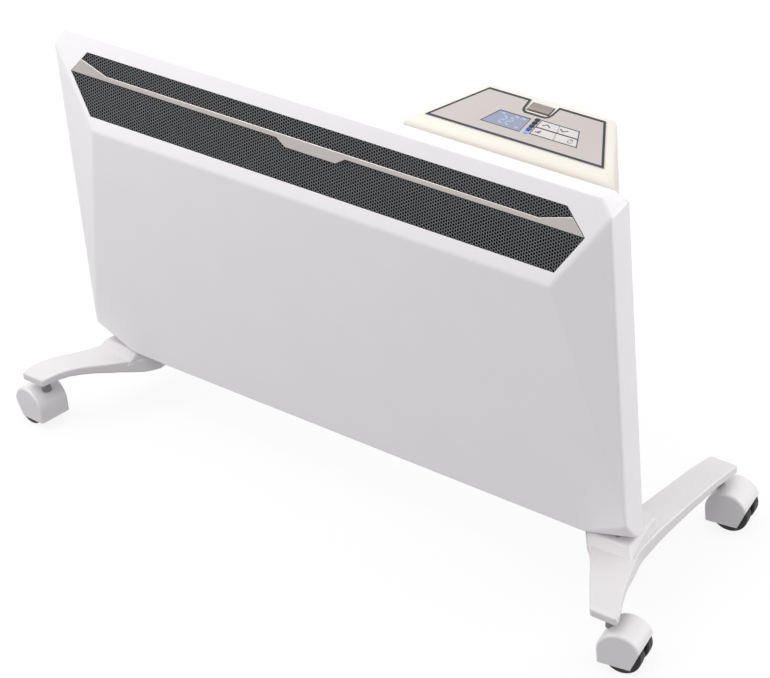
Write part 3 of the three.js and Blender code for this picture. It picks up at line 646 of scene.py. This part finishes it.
def cut(made, cutter_shape, place):
    """Takes a shape away from a piece for good, with the modifiers it has so far."""
    bmesh.ops.transform(cutter_shape, matrix=place, verts=cutter_shape.verts)
    mesh = bpy.data.meshes.new("cutter")
    cutter_shape.to_mesh(mesh)
    cutter_shape.free()
    cutter = bpy.data.objects.new("cutter", mesh)
    bpy.context.scene.collection.objects.link(cutter)
    hole = made.modifiers.new("hole", "BOOLEAN")
    hole.operation = "DIFFERENCE"
    hole.solver = "EXACT"
    hole.object = cutter
    bpy.context.view_layer.update()
    graph = bpy.context.evaluated_depsgraph_get()
    old = made.data
    made.data = bpy.data.meshes.new_from_object(made.evaluated_get(graph))
    made.data.name = old.name
    made.modifiers.clear()
    bpy.data.meshes.remove(old)
    bpy.data.objects.remove(cutter)
    bpy.data.meshes.remove(mesh)


cream = surface("cream_moulded_abs", CREAM, roughness=0.46, grain_mm=0.6, depth_mm=0.02, IOR=1.5)
cover = piece(unit_half(True), "unit_cover_shell", "control_unit", [cream],
              ["unit_cover"], place=in_unit)
give_wall(cover, UNIT_WALL)
cut(cover, add_box(bmesh.new(), *BAY), in_unit)
tray = piece(unit_half(False), "unit_tray_shell", "control_unit", [cream],
             ["unit_base"], place=in_unit)
give_wall(tray, UNIT_WALL)
for shell in (cover, tray):
    even_shading(shell)

# ---------------------------------------------------------------- label
# A silver polycarbonate film with a printed outline, stuck on the cover: matt, and a little paler
# over the keys. The outline is charcoal ink, flat on the film, and runs in round the switch's bay.

LABEL_TOP = 0.6
LABEL_LINE = 2.7
INK_THICK = 0.12
# Half the notch, from the label's rear edge in to its bottom: distance from its middle, and Y.
NOTCH_EDGE = [(18.5, LABEL_REAR), (17, 62), (15.8, 58.9), (12.8, 57)]
LABEL_OUTLINE = [
    (-LABEL_FRONT_HALF, LABEL_FRONT),
    (LABEL_FRONT_HALF, LABEL_FRONT),
    (LABEL_REAR_HALF, LABEL_REAR),
    *[(NOTCH_X + x, y) for x, y in NOTCH_EDGE],
    *[(NOTCH_X - x, y) for x, y in reversed(NOTCH_EDGE)],
    (-LABEL_REAR_HALF, LABEL_REAR),
]
FILM_SILVER = ("#C5BEBB", "#BDB6B3")
KEY_SILVER = ("#D6D2D1", "#D2CECD")
INK = ("#2E323E", "#2C3040")

film = surface(
    "silver_printed_film", FILM_SILVER, roughness=0.5, grain_mm=0.5, depth_mm=0.004, IOR=1.5
)
key_film = surface(
    "pale_key_film", KEY_SILVER, roughness=0.5, grain_mm=0.5, depth_mm=0.004, IOR=1.5
)
ink = surface("charcoal_ink", INK, roughness=0.45, grain_mm=0.5, depth_mm=0.003, IOR=1.5)


def thicken(shape, thick):
    """Raises a flat sheet into a closed slab over its own plane."""
    made = bmesh.ops.extrude_face_region(shape, geom=shape.faces[:], use_keep_orig=True)["geom"]
    bmesh.ops.translate(shape, verts=verts_of(made), vec=(0, 0, thick))
    bmesh.ops.recalc_face_normals(shape, faces=shape.faces)


def printed_line(points, width, z):
    """A closed line of ink, just inside an outline."""
    shape = bmesh.new()
    shape.faces.new([shape.verts.new((x, y, z)) for x, y in points])
    bmesh.ops.recalc_face_normals(shape, faces=shape.faces)
    if shape.faces[:][0].normal.z < 0:
        bmesh.ops.reverse_faces(shape, faces=shape.faces)
    open_middle(shape, width)
    thicken(shape, INK_THICK)
    return shape


redressed("unit_label", "control_unit", film, width_mm=0)
piece(printed_line(LABEL_OUTLINE, LABEL_LINE, LABEL_TOP), "label_outline", "control_unit",
      [ink], place=in_unit)

# ---------------------------------------------------------------- display window
# A pale blue liquid-crystal window behind clear film, which gives it a smooth gloss, with a dark
# printed rim. Its figures are plain seven-bar numbers.

WINDOW = [(-54, 27), (-2, 27), (-2, 49), (-43, 49)]
WINDOW_LINE = 0.65
WINDOW_LINE_Z = LABEL_TOP - 0.15
WINDOW_TOP = LABEL_TOP - 0.2
FIGURE_Z = (WINDOW_TOP, WINDOW_TOP + 0.06)
FIGURE_PLACES = [(-31, 37), (-22, 37)]
FIGURE_WIDE, FIGURE_HIGH = 5, 5.2
# Half the width and half the length of a bar that lies level, and of one that stands upright.
LEVEL_BAR = (FIGURE_WIDE / 2 - 0.6, 0.55)
UPRIGHT_BAR = (0.55, FIGURE_HIGH / 2 - 0.7)
# The bars of a figure 2, each with its middle in widths and heights of the figure.
FIGURE_BARS = [
    (0, 1, LEVEL_BAR),
    (0.5, 0.5, UPRIGHT_BAR),
    (0, 0, LEVEL_BAR),
    (-0.5, -0.5, UPRIGHT_BAR),
    (0, -1, LEVEL_BAR),
]
# Small plain marks: their limits along X and Y.
WINDOW_MARKS = [
    ((-38, -34), (45, 46.6)), ((-20, -16), (45, 46.6)), ((-11, -7), (45, 46.6)),
    ((-12, -7), (31, 32.2)),
]
WINDOW_BLUE = ("#979EB3", "#8C93AA")
FIGURE_BLUE = ("#BCCBEA", "#B0C2E6")


def window_figures():
    shape = bmesh.new()
    for x, y in FIGURE_PLACES:
        for across, up, half in FIGURE_BARS:
            middle = (x + across * FIGURE_WIDE, y + up * FIGURE_HIGH)
            limits = [(m - h, m + h) for m, h in zip(middle, half)]
            add_box(shape, *limits, FIGURE_Z)
    for mark in WINDOW_MARKS:
        add_box(shape, *mark, FIGURE_Z)
    return shape


window_glass = surface(
    "pale_blue_window", WINDOW_BLUE, roughness=0.22, grain_mm=1.2, depth_mm=0.002, cloud_mm=9,
    IOR=1.5,
)
window_mark = surface(
    "window_figures", FIGURE_BLUE, roughness=0.3, grain_mm=1, depth_mm=0.001, IOR=1.5
)
redressed("display_window", "control_unit", window_glass, width_mm=0)
piece(printed_line(WINDOW, WINDOW_LINE, WINDOW_LINE_Z), "window_rim", "control_unit",
      [ink], place=in_unit)
piece(window_figures(), "window_figures", "control_unit", [window_mark],
      place=in_unit)

# ---------------------------------------------------------------- lamps
# Five light pipes of tinted, glossy acrylic in one moulding, with a flat cap over each. The front
# one is lit pale blue and the next a deeper blue; the others are dark.

LAMP_X = 6
LAMP_FIRST = 28.9
LAMP_PITCH = 5.22
LAMP_HALF = (3.3, 1.85)
LAMP_Z = (LABEL_TOP + 0.02, 0.95)
LAMP_EDGE = 0.2
LAMP_TINTS = ["#7CB0E6", "#3350A0", "#1F2655", "#10112E", "#141628"]
NAVY = ("#1D2852", "#192248")

acrylic = {"roughness": 0.25, "grain_mm": 1, "depth_mm": 0.002, "IOR": 1.49}
navy_acrylic = surface("navy_acrylic", NAVY, **acrylic)
redressed("light_guide", "control_unit", navy_acrylic, width_mm=0)
for i, tint in enumerate(LAMP_TINTS):
    y = LAMP_FIRST + i * LAMP_PITCH
    limits = [(m - h, m + h) for m, h in zip((LAMP_X, y), LAMP_HALF)]
    tinted = surface(f"acrylic_lamp_{i + 1}", (tint, tint), **acrylic)
    cap = piece(add_box(bmesh.new(), *limits, LAMP_Z), f"lamp_cap_{i + 1}", "control_unit",
                [tinted], place=in_unit)
    soften(cap, LAMP_EDGE)

# ---------------------------------------------------------------- keys
# Four low keys under the same film, in two outlined rows: lower and raise behind, power level
# and mode in front. Each has a printed sign.

KEY_TOP = 0.9
KEY_EDGE = 0.25
SIGN_THICK = 0.08
SIGN_Z = (KEY_TOP, KEY_TOP + SIGN_THICK)
# Each key's sign, and how far it stands to the right of the key's middle.
KEY_SIGNS = {
    "key_lower": ("up", -3),
    "key_raise": ("down", -7),
    "key_power_level": ("bars", -11),
    "key_mode": ("ring", 5),
}
CHEVRON_LEANS = {"up": 0.5, "down": -0.5}
CHEVRON_ARM = (6, 1.15)
CHEVRON_SPREAD = 2.6
BAR_HEIGHTS = (1.6, 2.8, 4)
BAR_PITCH, BAR_WIDE, BAR_DROP = 2.2, 1.5, 2
RING_RADIUS, RING_LINE = 3.1, 0.6
NEEDLE_HALF, NEEDLE_LONG = 0.3, 2.4
KEY_LINE = 0.7
KEY_FIELD_LEFT = 10.4
# The printed cross lines, from the front: Y, and where each ends at the right.
KEY_FIELD_LINES = [(28.2, 72.4), (39.8, 66.2), (51.4, 60.0)]
KEY_GAP_HALF = 5.2
KEY_GAP_LAP = 0.1
KEY_GAP_Z = (LABEL_TOP, KEY_TOP - 0.02)


def key_middle(node):
    low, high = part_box(node)
    return (in_unit.inverted() @ ((low + high) / 2)).xy


def sign_shape(kind, x, y):
    shape = bmesh.new()
    if kind in CHEVRON_LEANS:
        for side in (-1, 1):
            arm = Matrix.Translation((x + side * CHEVRON_SPREAD, y, KEY_TOP + SIGN_THICK / 2))
            arm = arm @ Matrix.Rotation(-side * CHEVRON_LEANS[kind], 4, "Z")
            arm = arm @ Matrix.Diagonal((*CHEVRON_ARM, SIGN_THICK, 1))
            bmesh.ops.create_cube(shape, size=1, matrix=arm)
    if kind == "bars":
        for i, high in enumerate(BAR_HEIGHTS):
            left = x + i * BAR_PITCH
            add_box(shape, (left, left + BAR_WIDE), (y - BAR_DROP, y - BAR_DROP + high), SIGN_Z)
    if kind == "ring":
        bmesh.ops.create_circle(shape, cap_ends=True, segments=28, radius=RING_RADIUS,
                                matrix=Matrix.Translation((x, y, KEY_TOP)))
        open_middle(shape, RING_LINE)
        thicken(shape, SIGN_THICK)
        add_box(shape, (x - NEEDLE_HALF, x + NEEDLE_HALF), (y, y + NEEDLE_LONG), SIGN_Z)
    return shape


for node, (kind, shift) in KEY_SIGNS.items():
    body = f"{node}_cap"
    x, y = key_middle(node)
    redressed(node, body, key_film, KEY_EDGE)
    piece(sign_shape(kind, x + shift, y), f"{node}_sign", body, [ink],
          place=in_unit)

# The film runs on over the gap between two neighbouring keys.
for left_key, right_key in (("key_lower", "key_raise"), ("key_power_level", "key_mode")):
    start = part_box(left_key)[1].x * 1000 - UNIT_X - KEY_GAP_LAP
    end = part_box(right_key)[0].x * 1000 - UNIT_X + KEY_GAP_LAP
    y = key_middle(left_key).y
    joint = add_box(bmesh.new(), (start, end), (y - KEY_GAP_HALF, y + KEY_GAP_HALF), KEY_GAP_Z)
    piece(joint, f"{left_key}_film_joint", "control_unit", [key_film],
          place=in_unit)

# A printed line round each row of keys.
for row, front, rear in zip(("front", "rear"), KEY_FIELD_LINES, KEY_FIELD_LINES[1:]):
    round_row = [
        (KEY_FIELD_LEFT, front[0]),
        (front[1], front[0]),
        (rear[1], rear[0]),
        (KEY_FIELD_LEFT, rear[0]),
    ]
    piece(printed_line(round_row, KEY_LINE, LABEL_TOP), f"key_line_{row}", "control_unit",
          [ink], place=in_unit)

# ---------------------------------------------------------------- rocker switch
# A smoky grey polycarbonate rocker, glossy and warm in tone, in a black ABS housing. It tilts in
# the bay at the rear of the label. The plug under the unit is black ABS too.

SMOKE = ("#9A8F89", "#8E837E")

smoke = surface(
    "smoky_polycarbonate", SMOKE, roughness=0.18, grain_mm=1.5, depth_mm=0.003, IOR=1.58
)
redressed("rocker_switch", "rocker", smoke, width_mm=0.6, segments=3)
redressed("switch_housing", "control_unit", black_abs, width_mm=0.3)
redressed("dock_plug", "control_unit", black_abs, width_mm=0.4)

# ---------------------------------------------------------------- legs
# Moulded in white nylon in mirrored pairs: a beam with drooping tips, whose front arm swings
# outwards, and a raised pad on it that takes the heater's foot. Half gloss, with soft edges. Two
# bright zinc-plated screws hold each to the casing.

# Stations along Y: y, inner x, outer x, top, thickness.
LEG_STATIONS = [
    (-97.5, 417, 446, 70.5, 6),
    (-96.8, 413.8, 449, 72.6, 9.5),
    (-90, 409, 448, 75.4, 10),
    (-80, 401.5, 443.2, 78.8, 10),
    (-70, 394, 438, 80.4, 10),
    (-57, 384.4, 431.5, 80.7, 11),
    (-43, 374.5, 424.3, 79.2, 12),
    (-30, 364.5, 418.8, 77.6, 13.6),
    (-20, 357, 414.4, 77, 15),
    (-9.5, 346.7, 409.8, 77, 17),
    (0, 336.6, 405.8, 77, 18),
    (8, 330, 403, 77, 18),
    (17, 324.4, 400.8, 77, 17.6),
    (48, 324.4, 397.8, 77, 15.6),
    (60, 335.4, 397, 77, 15),
    (76, 351, 396.4, 77, 14.2),
    (96, 352, 395.9, 77, 13.2),
    (120, 353.2, 395.4, 77, 12.2),
    (166, 355.6, 394.9, 77, 11),
    (192, 356.7, 394.6, 75, 10.6),
    (203, 357.2, 394.4, 73.6, 10),
    (206, 360, 392, 72, 7),
]
LEG_EDGE = 2.2
LEG_EDGE_STEPS = 3
LEG_LEAST_SIDE = 0.4
# The pad's corners seen from above, on its top and at its foot inside the beam.
SADDLE_UPPER = [(341, -3.5), (325, 17), (325, 48), (334, 58), (388, 58), (397, -3.5)]
SADDLE_LOWER = [(346.5, -11), (325, 17), (325, 48), (336, 64), (390, 64), (405, -11)]
SADDLE_TOP = 88.4
SADDLE_FOOT = 75
SADDLE_EDGE = 2.4
LEG_SMOOTH_ANGLE = 50
LEG_WHITE = ("#DEDBDC", "#DAD7D9")
ZINC = ("#B4B5B8", "#A4A5A8")


def leg_section(shape, station):
    """One rounded rectangle of edges across the leg."""
    y, inner, outer, top, thick = station
    radius = min(LEG_EDGE, thick / 2 - LEG_LEAST_SIDE)
    middle = Vector(((inner + outer) / 2, y, top - thick / 2))
    reach = Vector(((outer - inner) / 2 - radius, 0, thick / 2 - radius))
    verts = []
    for quarter, (right, up) in enumerate(((1, 1), (-1, 1), (-1, -1), (1, -1))):
        corner = middle + Vector((right * reach.x, 0, up * reach.z))
        for step in range(LEG_EDGE_STEPS + 1):
            angle = (quarter + step / LEG_EDGE_STEPS) * math.pi / 2
            offset = Vector((math.cos(angle) * radius, 0, math.sin(angle) * radius))
            verts.append(shape.verts.new(corner + offset))
    return [shape.edges.new(pair) for pair in zip(verts, verts[1:] + verts[:1])]


def drawn_leg(sign):
    shape = bmesh.new()
    rings = [leg_section(shape, station) for station in LEG_STATIONS]
    for first, second in zip(rings, rings[1:]):
        bmesh.ops.bridge_loops(shape, edges=first + second)
    for ring in (rings[0], rings[-1]):
        bmesh.ops.contextual_create(shape, geom=ring)
    bmesh.ops.scale(shape, verts=shape.verts, vec=(sign, 1, 1))
    bmesh.ops.recalc_face_normals(shape, faces=shape.faces)
    return shape


def drawn_saddle(sign):
    """The raised pad on the beam that takes the heater's foot."""
    upper = [(sign * x, y, SADDLE_TOP) for x, y in SADDLE_UPPER]
    lower = [(sign * x, y, SADDLE_FOOT) for x, y in SADDLE_LOWER]
    shape = hull_of(upper + lower)
    rims = [e for e in shape.edges if max(v.co.z for v in e.verts) > SADDLE_FOOT + 1]
    round_edges(shape, rims, SADDLE_EDGE, 3)
    return shape


nylon = surface(
    "white_moulded_nylon", LEG_WHITE, roughness=0.3, grain_mm=0.9, depth_mm=0.01, IOR=1.53
)
zinc = satin_metal("zinc_plated_steel", ZINC, roughness=0.35)
for side, sign in (("left", -1), ("right", 1)):
    beam = piece(drawn_leg(sign), f"leg_beam_{side}", "heater_body", [nylon],
                 [f"leg_{side}"], smooth_angle=LEG_SMOOTH_ANGLE)
    saddle = piece(drawn_saddle(sign), f"leg_saddle_{side}", "heater_body",
                   [nylon], smooth_angle=LEG_SMOOTH_ANGLE)
    for moulding in (beam, saddle):
        even_shading(moulding)
    for spot in ("front", "rear"):
        redressed(f"leg_screw_{side}_{spot}", "heater_body", zinc, width_mm=0.3)

# ---------------------------------------------------------------- castors
# Each is a half-gloss white nylon hood over twin satin black nylon wheels on one steel axle. It
# turns on a dull grey stem. The hood is a drum with soft rims and a straight heel, cut away below
# and at its mouth, where the wheels show, each with a groove round its tread.

WHEEL_WIDTH = 14.4
WHEEL_GAP = 0.7
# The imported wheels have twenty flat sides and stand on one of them.
WHEEL_RADIUS = 22
WHEEL_SIDES = 20
AXLE_HEIGHT = WHEEL_RADIUS * math.cos(math.pi / WHEEL_SIDES)
TRAIL = 18
WHEEL_WELD = 0.01
# Half a section of a wheel, from its inner side to its outer one: radius, and way along the axle.
WHEEL_PROFILE = [
    (2.8, 0.2), (7.5, 0.2), (8, 1), (16, 1.2), (17.5, 0.4), (19, 0), (20.6, 0.5), (21.5, 1.6),
    (21.7, 3.2), (21.7, 6.6), (21.2, 7.0), (21.2, 7.4), (21.7, 7.8), (21.7, 11.2), (21.5, 12.8),
    (20.6, 13.9), (19, 14.4), (2.8, 14.4),
]
HOOD_RADIUS = 25.6
HOOD_WALL = 1.8
HOOD_WEB = 8
HOOD_RIM = 3.4
WEB_RIM = 0.6
WEB_RADIUS = HOOD_RADIUS - 1
HOOD_HALF = HOOD_WEB / 2 + WHEEL_WIDTH + 2 * WHEEL_GAP + HOOD_WALL
# From the axle, along the trail and up: the drum's middle, and the line of its lower edge.
HOOD_MIDDLE = (-3, 4.2)
HOOD_HEEL = (-28.6, -10.4)
HOOD_TOE = (10, -13.5)
HOOD_MOUTH = (20.5, 7.8)
# The collar and the pin of the stem: sides, lower radius, upper radius, foot and top.
STEM_CONES = [(32, 6.2, 5, 46, 55), (24, 4, 4, 46, 68.4)]
ROUND_STEPS = 64
CASTOR_SMOOTH_ANGLE = 45
HOOD_WHITE = ("#E3E0E1", "#DEDBDD")
COLLAR_GREY = ("#858284", "#7B787A")
TYRE_BLACK = ("#0F0F12", "#151518")


def joint_place(name):
    return Vector(next(j for j in frame["joints"] if j["name"] == name)["pos_m"])


def castor_place(which):
    """The castor's own place: stem on Z, trail along +X, axle along Y."""
    stem = joint_place(f"swivel_{which}")
    wheels = joint_place(f"spin_front_of_{which}") + joint_place(f"spin_back_of_{which}")
    trail = wheels / 2 - stem
    turn = Matrix.Rotation(math.atan2(trail.y, trail.x), 4, "Z")
    return Matrix.Translation((stem.x, stem.y, 0)) @ turn @ Matrix.Scale(0.001, 4)


def drum(radius, half_width, rim):
    """A drum along Y with rounded rims and a straight heel, closed at both ends."""
    shape = bmesh.new()
    bmesh.ops.create_cone(shape, cap_ends=True, segments=ROUND_STEPS, radius1=radius,
                          radius2=radius, depth=2 * half_width)
    for vert in shape.verts:
        if vert.co.x < 0 and vert.co.y < 0:
            vert.co.x = -radius
    bmesh.ops.bevel(shape, geom=folds_over(shape, 60), offset=rim, offset_type="OFFSET",
                    segments=5, profile=0.5, affect="EDGES", material=-1)
    bmesh.ops.rotate(shape, verts=shape.verts, matrix=Matrix.Rotation(math.pi / 2, 3, "X"))
    bmesh.ops.translate(shape, verts=shape.verts, vec=(HOOD_MIDDLE[0], 0, HOOD_MIDDLE[1]))
    return shape


def trimmed(shape, fill):
    """Cuts a drum back to the hood's lower edge and its mouth."""
    for start, end in ((HOOD_HEEL, HOOD_TOE), (HOOD_TOE, HOOD_MOUTH)):
        away = Vector((end[1] - start[1], 0, start[0] - end[0])).normalized()
        made = bmesh.ops.bisect_plane(
            shape,
            geom=everything(shape),
            plane_co=(start[0], 0, start[1]),
            plane_no=away,
            clear_outer=True,
        )
        if fill:
            rim = [e for e in made["geom_cut"] if isinstance(e, bmesh.types.BMEdge)]
            bmesh.ops.contextual_create(shape, geom=rim)
    return shape


def hood_shell():
    """The drum's wall, and the solid web between the wheels."""
    shape = trimmed(drum(HOOD_RADIUS, HOOD_HALF, HOOD_RIM), False)
    bmesh.ops.solidify(shape, geom=shape.faces[:], thickness=HOOD_WALL)
    bmesh.ops.recalc_face_normals(shape, faces=shape.faces)
    web = trimmed(drum(WEB_RADIUS, HOOD_WEB / 2, WEB_RIM), True)
    mesh = bpy.data.meshes.new("web")
    web.to_mesh(mesh)
    web.free()
    shape.from_mesh(mesh)
    bpy.data.meshes.remove(mesh)
    return shape


def stem_collar():
    shape = bmesh.new()
    for sides, lower, upper, foot, top in STEM_CONES:
        bmesh.ops.create_cone(shape, cap_ends=True, segments=sides, radius1=lower, radius2=upper,
                              depth=top - foot, matrix=Matrix.Translation((0, 0, (foot + top) / 2)))
    return shape


def spun_wheel():
    """The tyre and its disc, spun round the axle from half a section."""
    shape = bmesh.new()
    verts = [shape.verts.new((r, y, 0)) for r, y in WHEEL_PROFILE]
    edges = [shape.edges.new(pair) for pair in zip(verts, verts[1:] + verts[:1])]
    bmesh.ops.spin(shape, geom=verts + edges, cent=(0, 0, 0), axis=(0, 1, 0),
                   angle=2 * math.pi, steps=ROUND_STEPS, use_merge=True)
    bmesh.ops.remove_doubles(shape, verts=shape.verts, dist=WHEEL_WELD)
    bmesh.ops.recalc_face_normals(shape, faces=shape.faces)
    return shape


hood_nylon = surface(
    "hood_nylon", HOOD_WHITE, roughness=0.32, grain_mm=0.9, depth_mm=0.01, IOR=1.53
)
collar_nylon = surface(
    "grey_nylon_collar", COLLAR_GREY, roughness=0.5, grain_mm=0.8, depth_mm=0.01, IOR=1.53
)
tyre_nylon = surface(
    "black_nylon_tyre", TYRE_BLACK, roughness=0.42, grain_mm=0.8, depth_mm=0.02, IOR=1.45
)
for which in ("front_right", "front_left", "rear_right", "rear_left"):
    body = f"castor_{which}"
    at_stem = castor_place(which)
    at_axle = at_stem @ Matrix.Translation((TRAIL, 0, AXLE_HEIGHT))
    hood = piece(hood_shell(), f"hood_shell_{which}", body, [hood_nylon],
                 [f"castor_hood_{which}"], place=at_axle, smooth_angle=CASTOR_SMOOTH_ANGLE)
    even_shading(hood)
    piece(stem_collar(), f"stem_collar_{which}", body, [collar_nylon],
          [f"castor_stem_{which}"], place=at_stem)
    redressed(f"castor_axle_{which}", body, zinc, width_mm=0.2)
    for wheel in ("front", "back"):
        node = f"wheel_{wheel}_of_{which}"
        low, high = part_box(node)
        side = math.copysign(1, (at_axle.inverted() @ ((low + high) / 2)).y)
        at_wheel = at_axle @ Matrix.Translation((0, side * (HOOD_WEB / 2 + WHEEL_GAP), 0))
        if side < 0:
            at_wheel = at_wheel @ Matrix.Rotation(math.pi, 4, "Z")
        tyre = piece(spun_wheel(), f"tyre_{wheel}_of_{which}", f"{node}_body",
                     [tyre_nylon], [node], place=at_wheel, smooth_angle=CASTOR_SMOOTH_ANGLE)
        even_shading(tyre)

# ---------------------------------------------------------------- inside the casing
# What the casing hides: a heat shield in flat black paint and the black coated heating element on
# its galvanised brackets and ceramic bushes, then the safety switches, and the control unit's
# board with its parts. Only dull black is to be seen through the holes of the grille.

galvanised = satin_metal("galvanised_sheet", ("#B9BCBE", "#A3A6A8"), roughness=0.5)
heat_black = surface(
    "heat_resistant_black_paint", ("#262628", "#202022"), roughness=0.7, grain_mm=0.8, depth_mm=0.01
)
element_black = surface(
    "black_coated_aluminium", ("#29292B", "#222224"), roughness=0.6, grain_mm=0.8, depth_mm=0.01
)
steatite = surface(
    "steatite_ceramic", ("#E9E2D2", "#E0D8C6"), roughness=0.6, grain_mm=0.7, depth_mm=0.02
)
laminate = surface(
    "green_laminate", ("#2C5A3A", "#264F33"), roughness=0.45, grain_mm=1.2, depth_mm=0.01
)
relay_case = surface(
    "blue_relay_case", ("#27406E", "#223862"), roughness=0.4, grain_mm=0.8, depth_mm=0.01
)
INSIDE = {
    "heat_shield": heat_black,
    "heating_element": element_black,
    "element_bracket_left": galvanised,
    "element_bracket_right": galvanised,
    "element_bush_left": steatite,
    "element_bush_right": steatite,
    "element_terminal_left": zinc,
    "element_terminal_right": zinc,
    "thermal_cutout": black_abs,
    "tilt_switch": black_abs,
    "terminal_block": steatite,
    "circuit_board": laminate,
    "relay": relay_case,
    "transformer": black_abs,
}
for node, material in INSIDE.items():
    mesh = frame["nodes"][node].data
    mesh.materials.clear()
    mesh.materials.append(material)
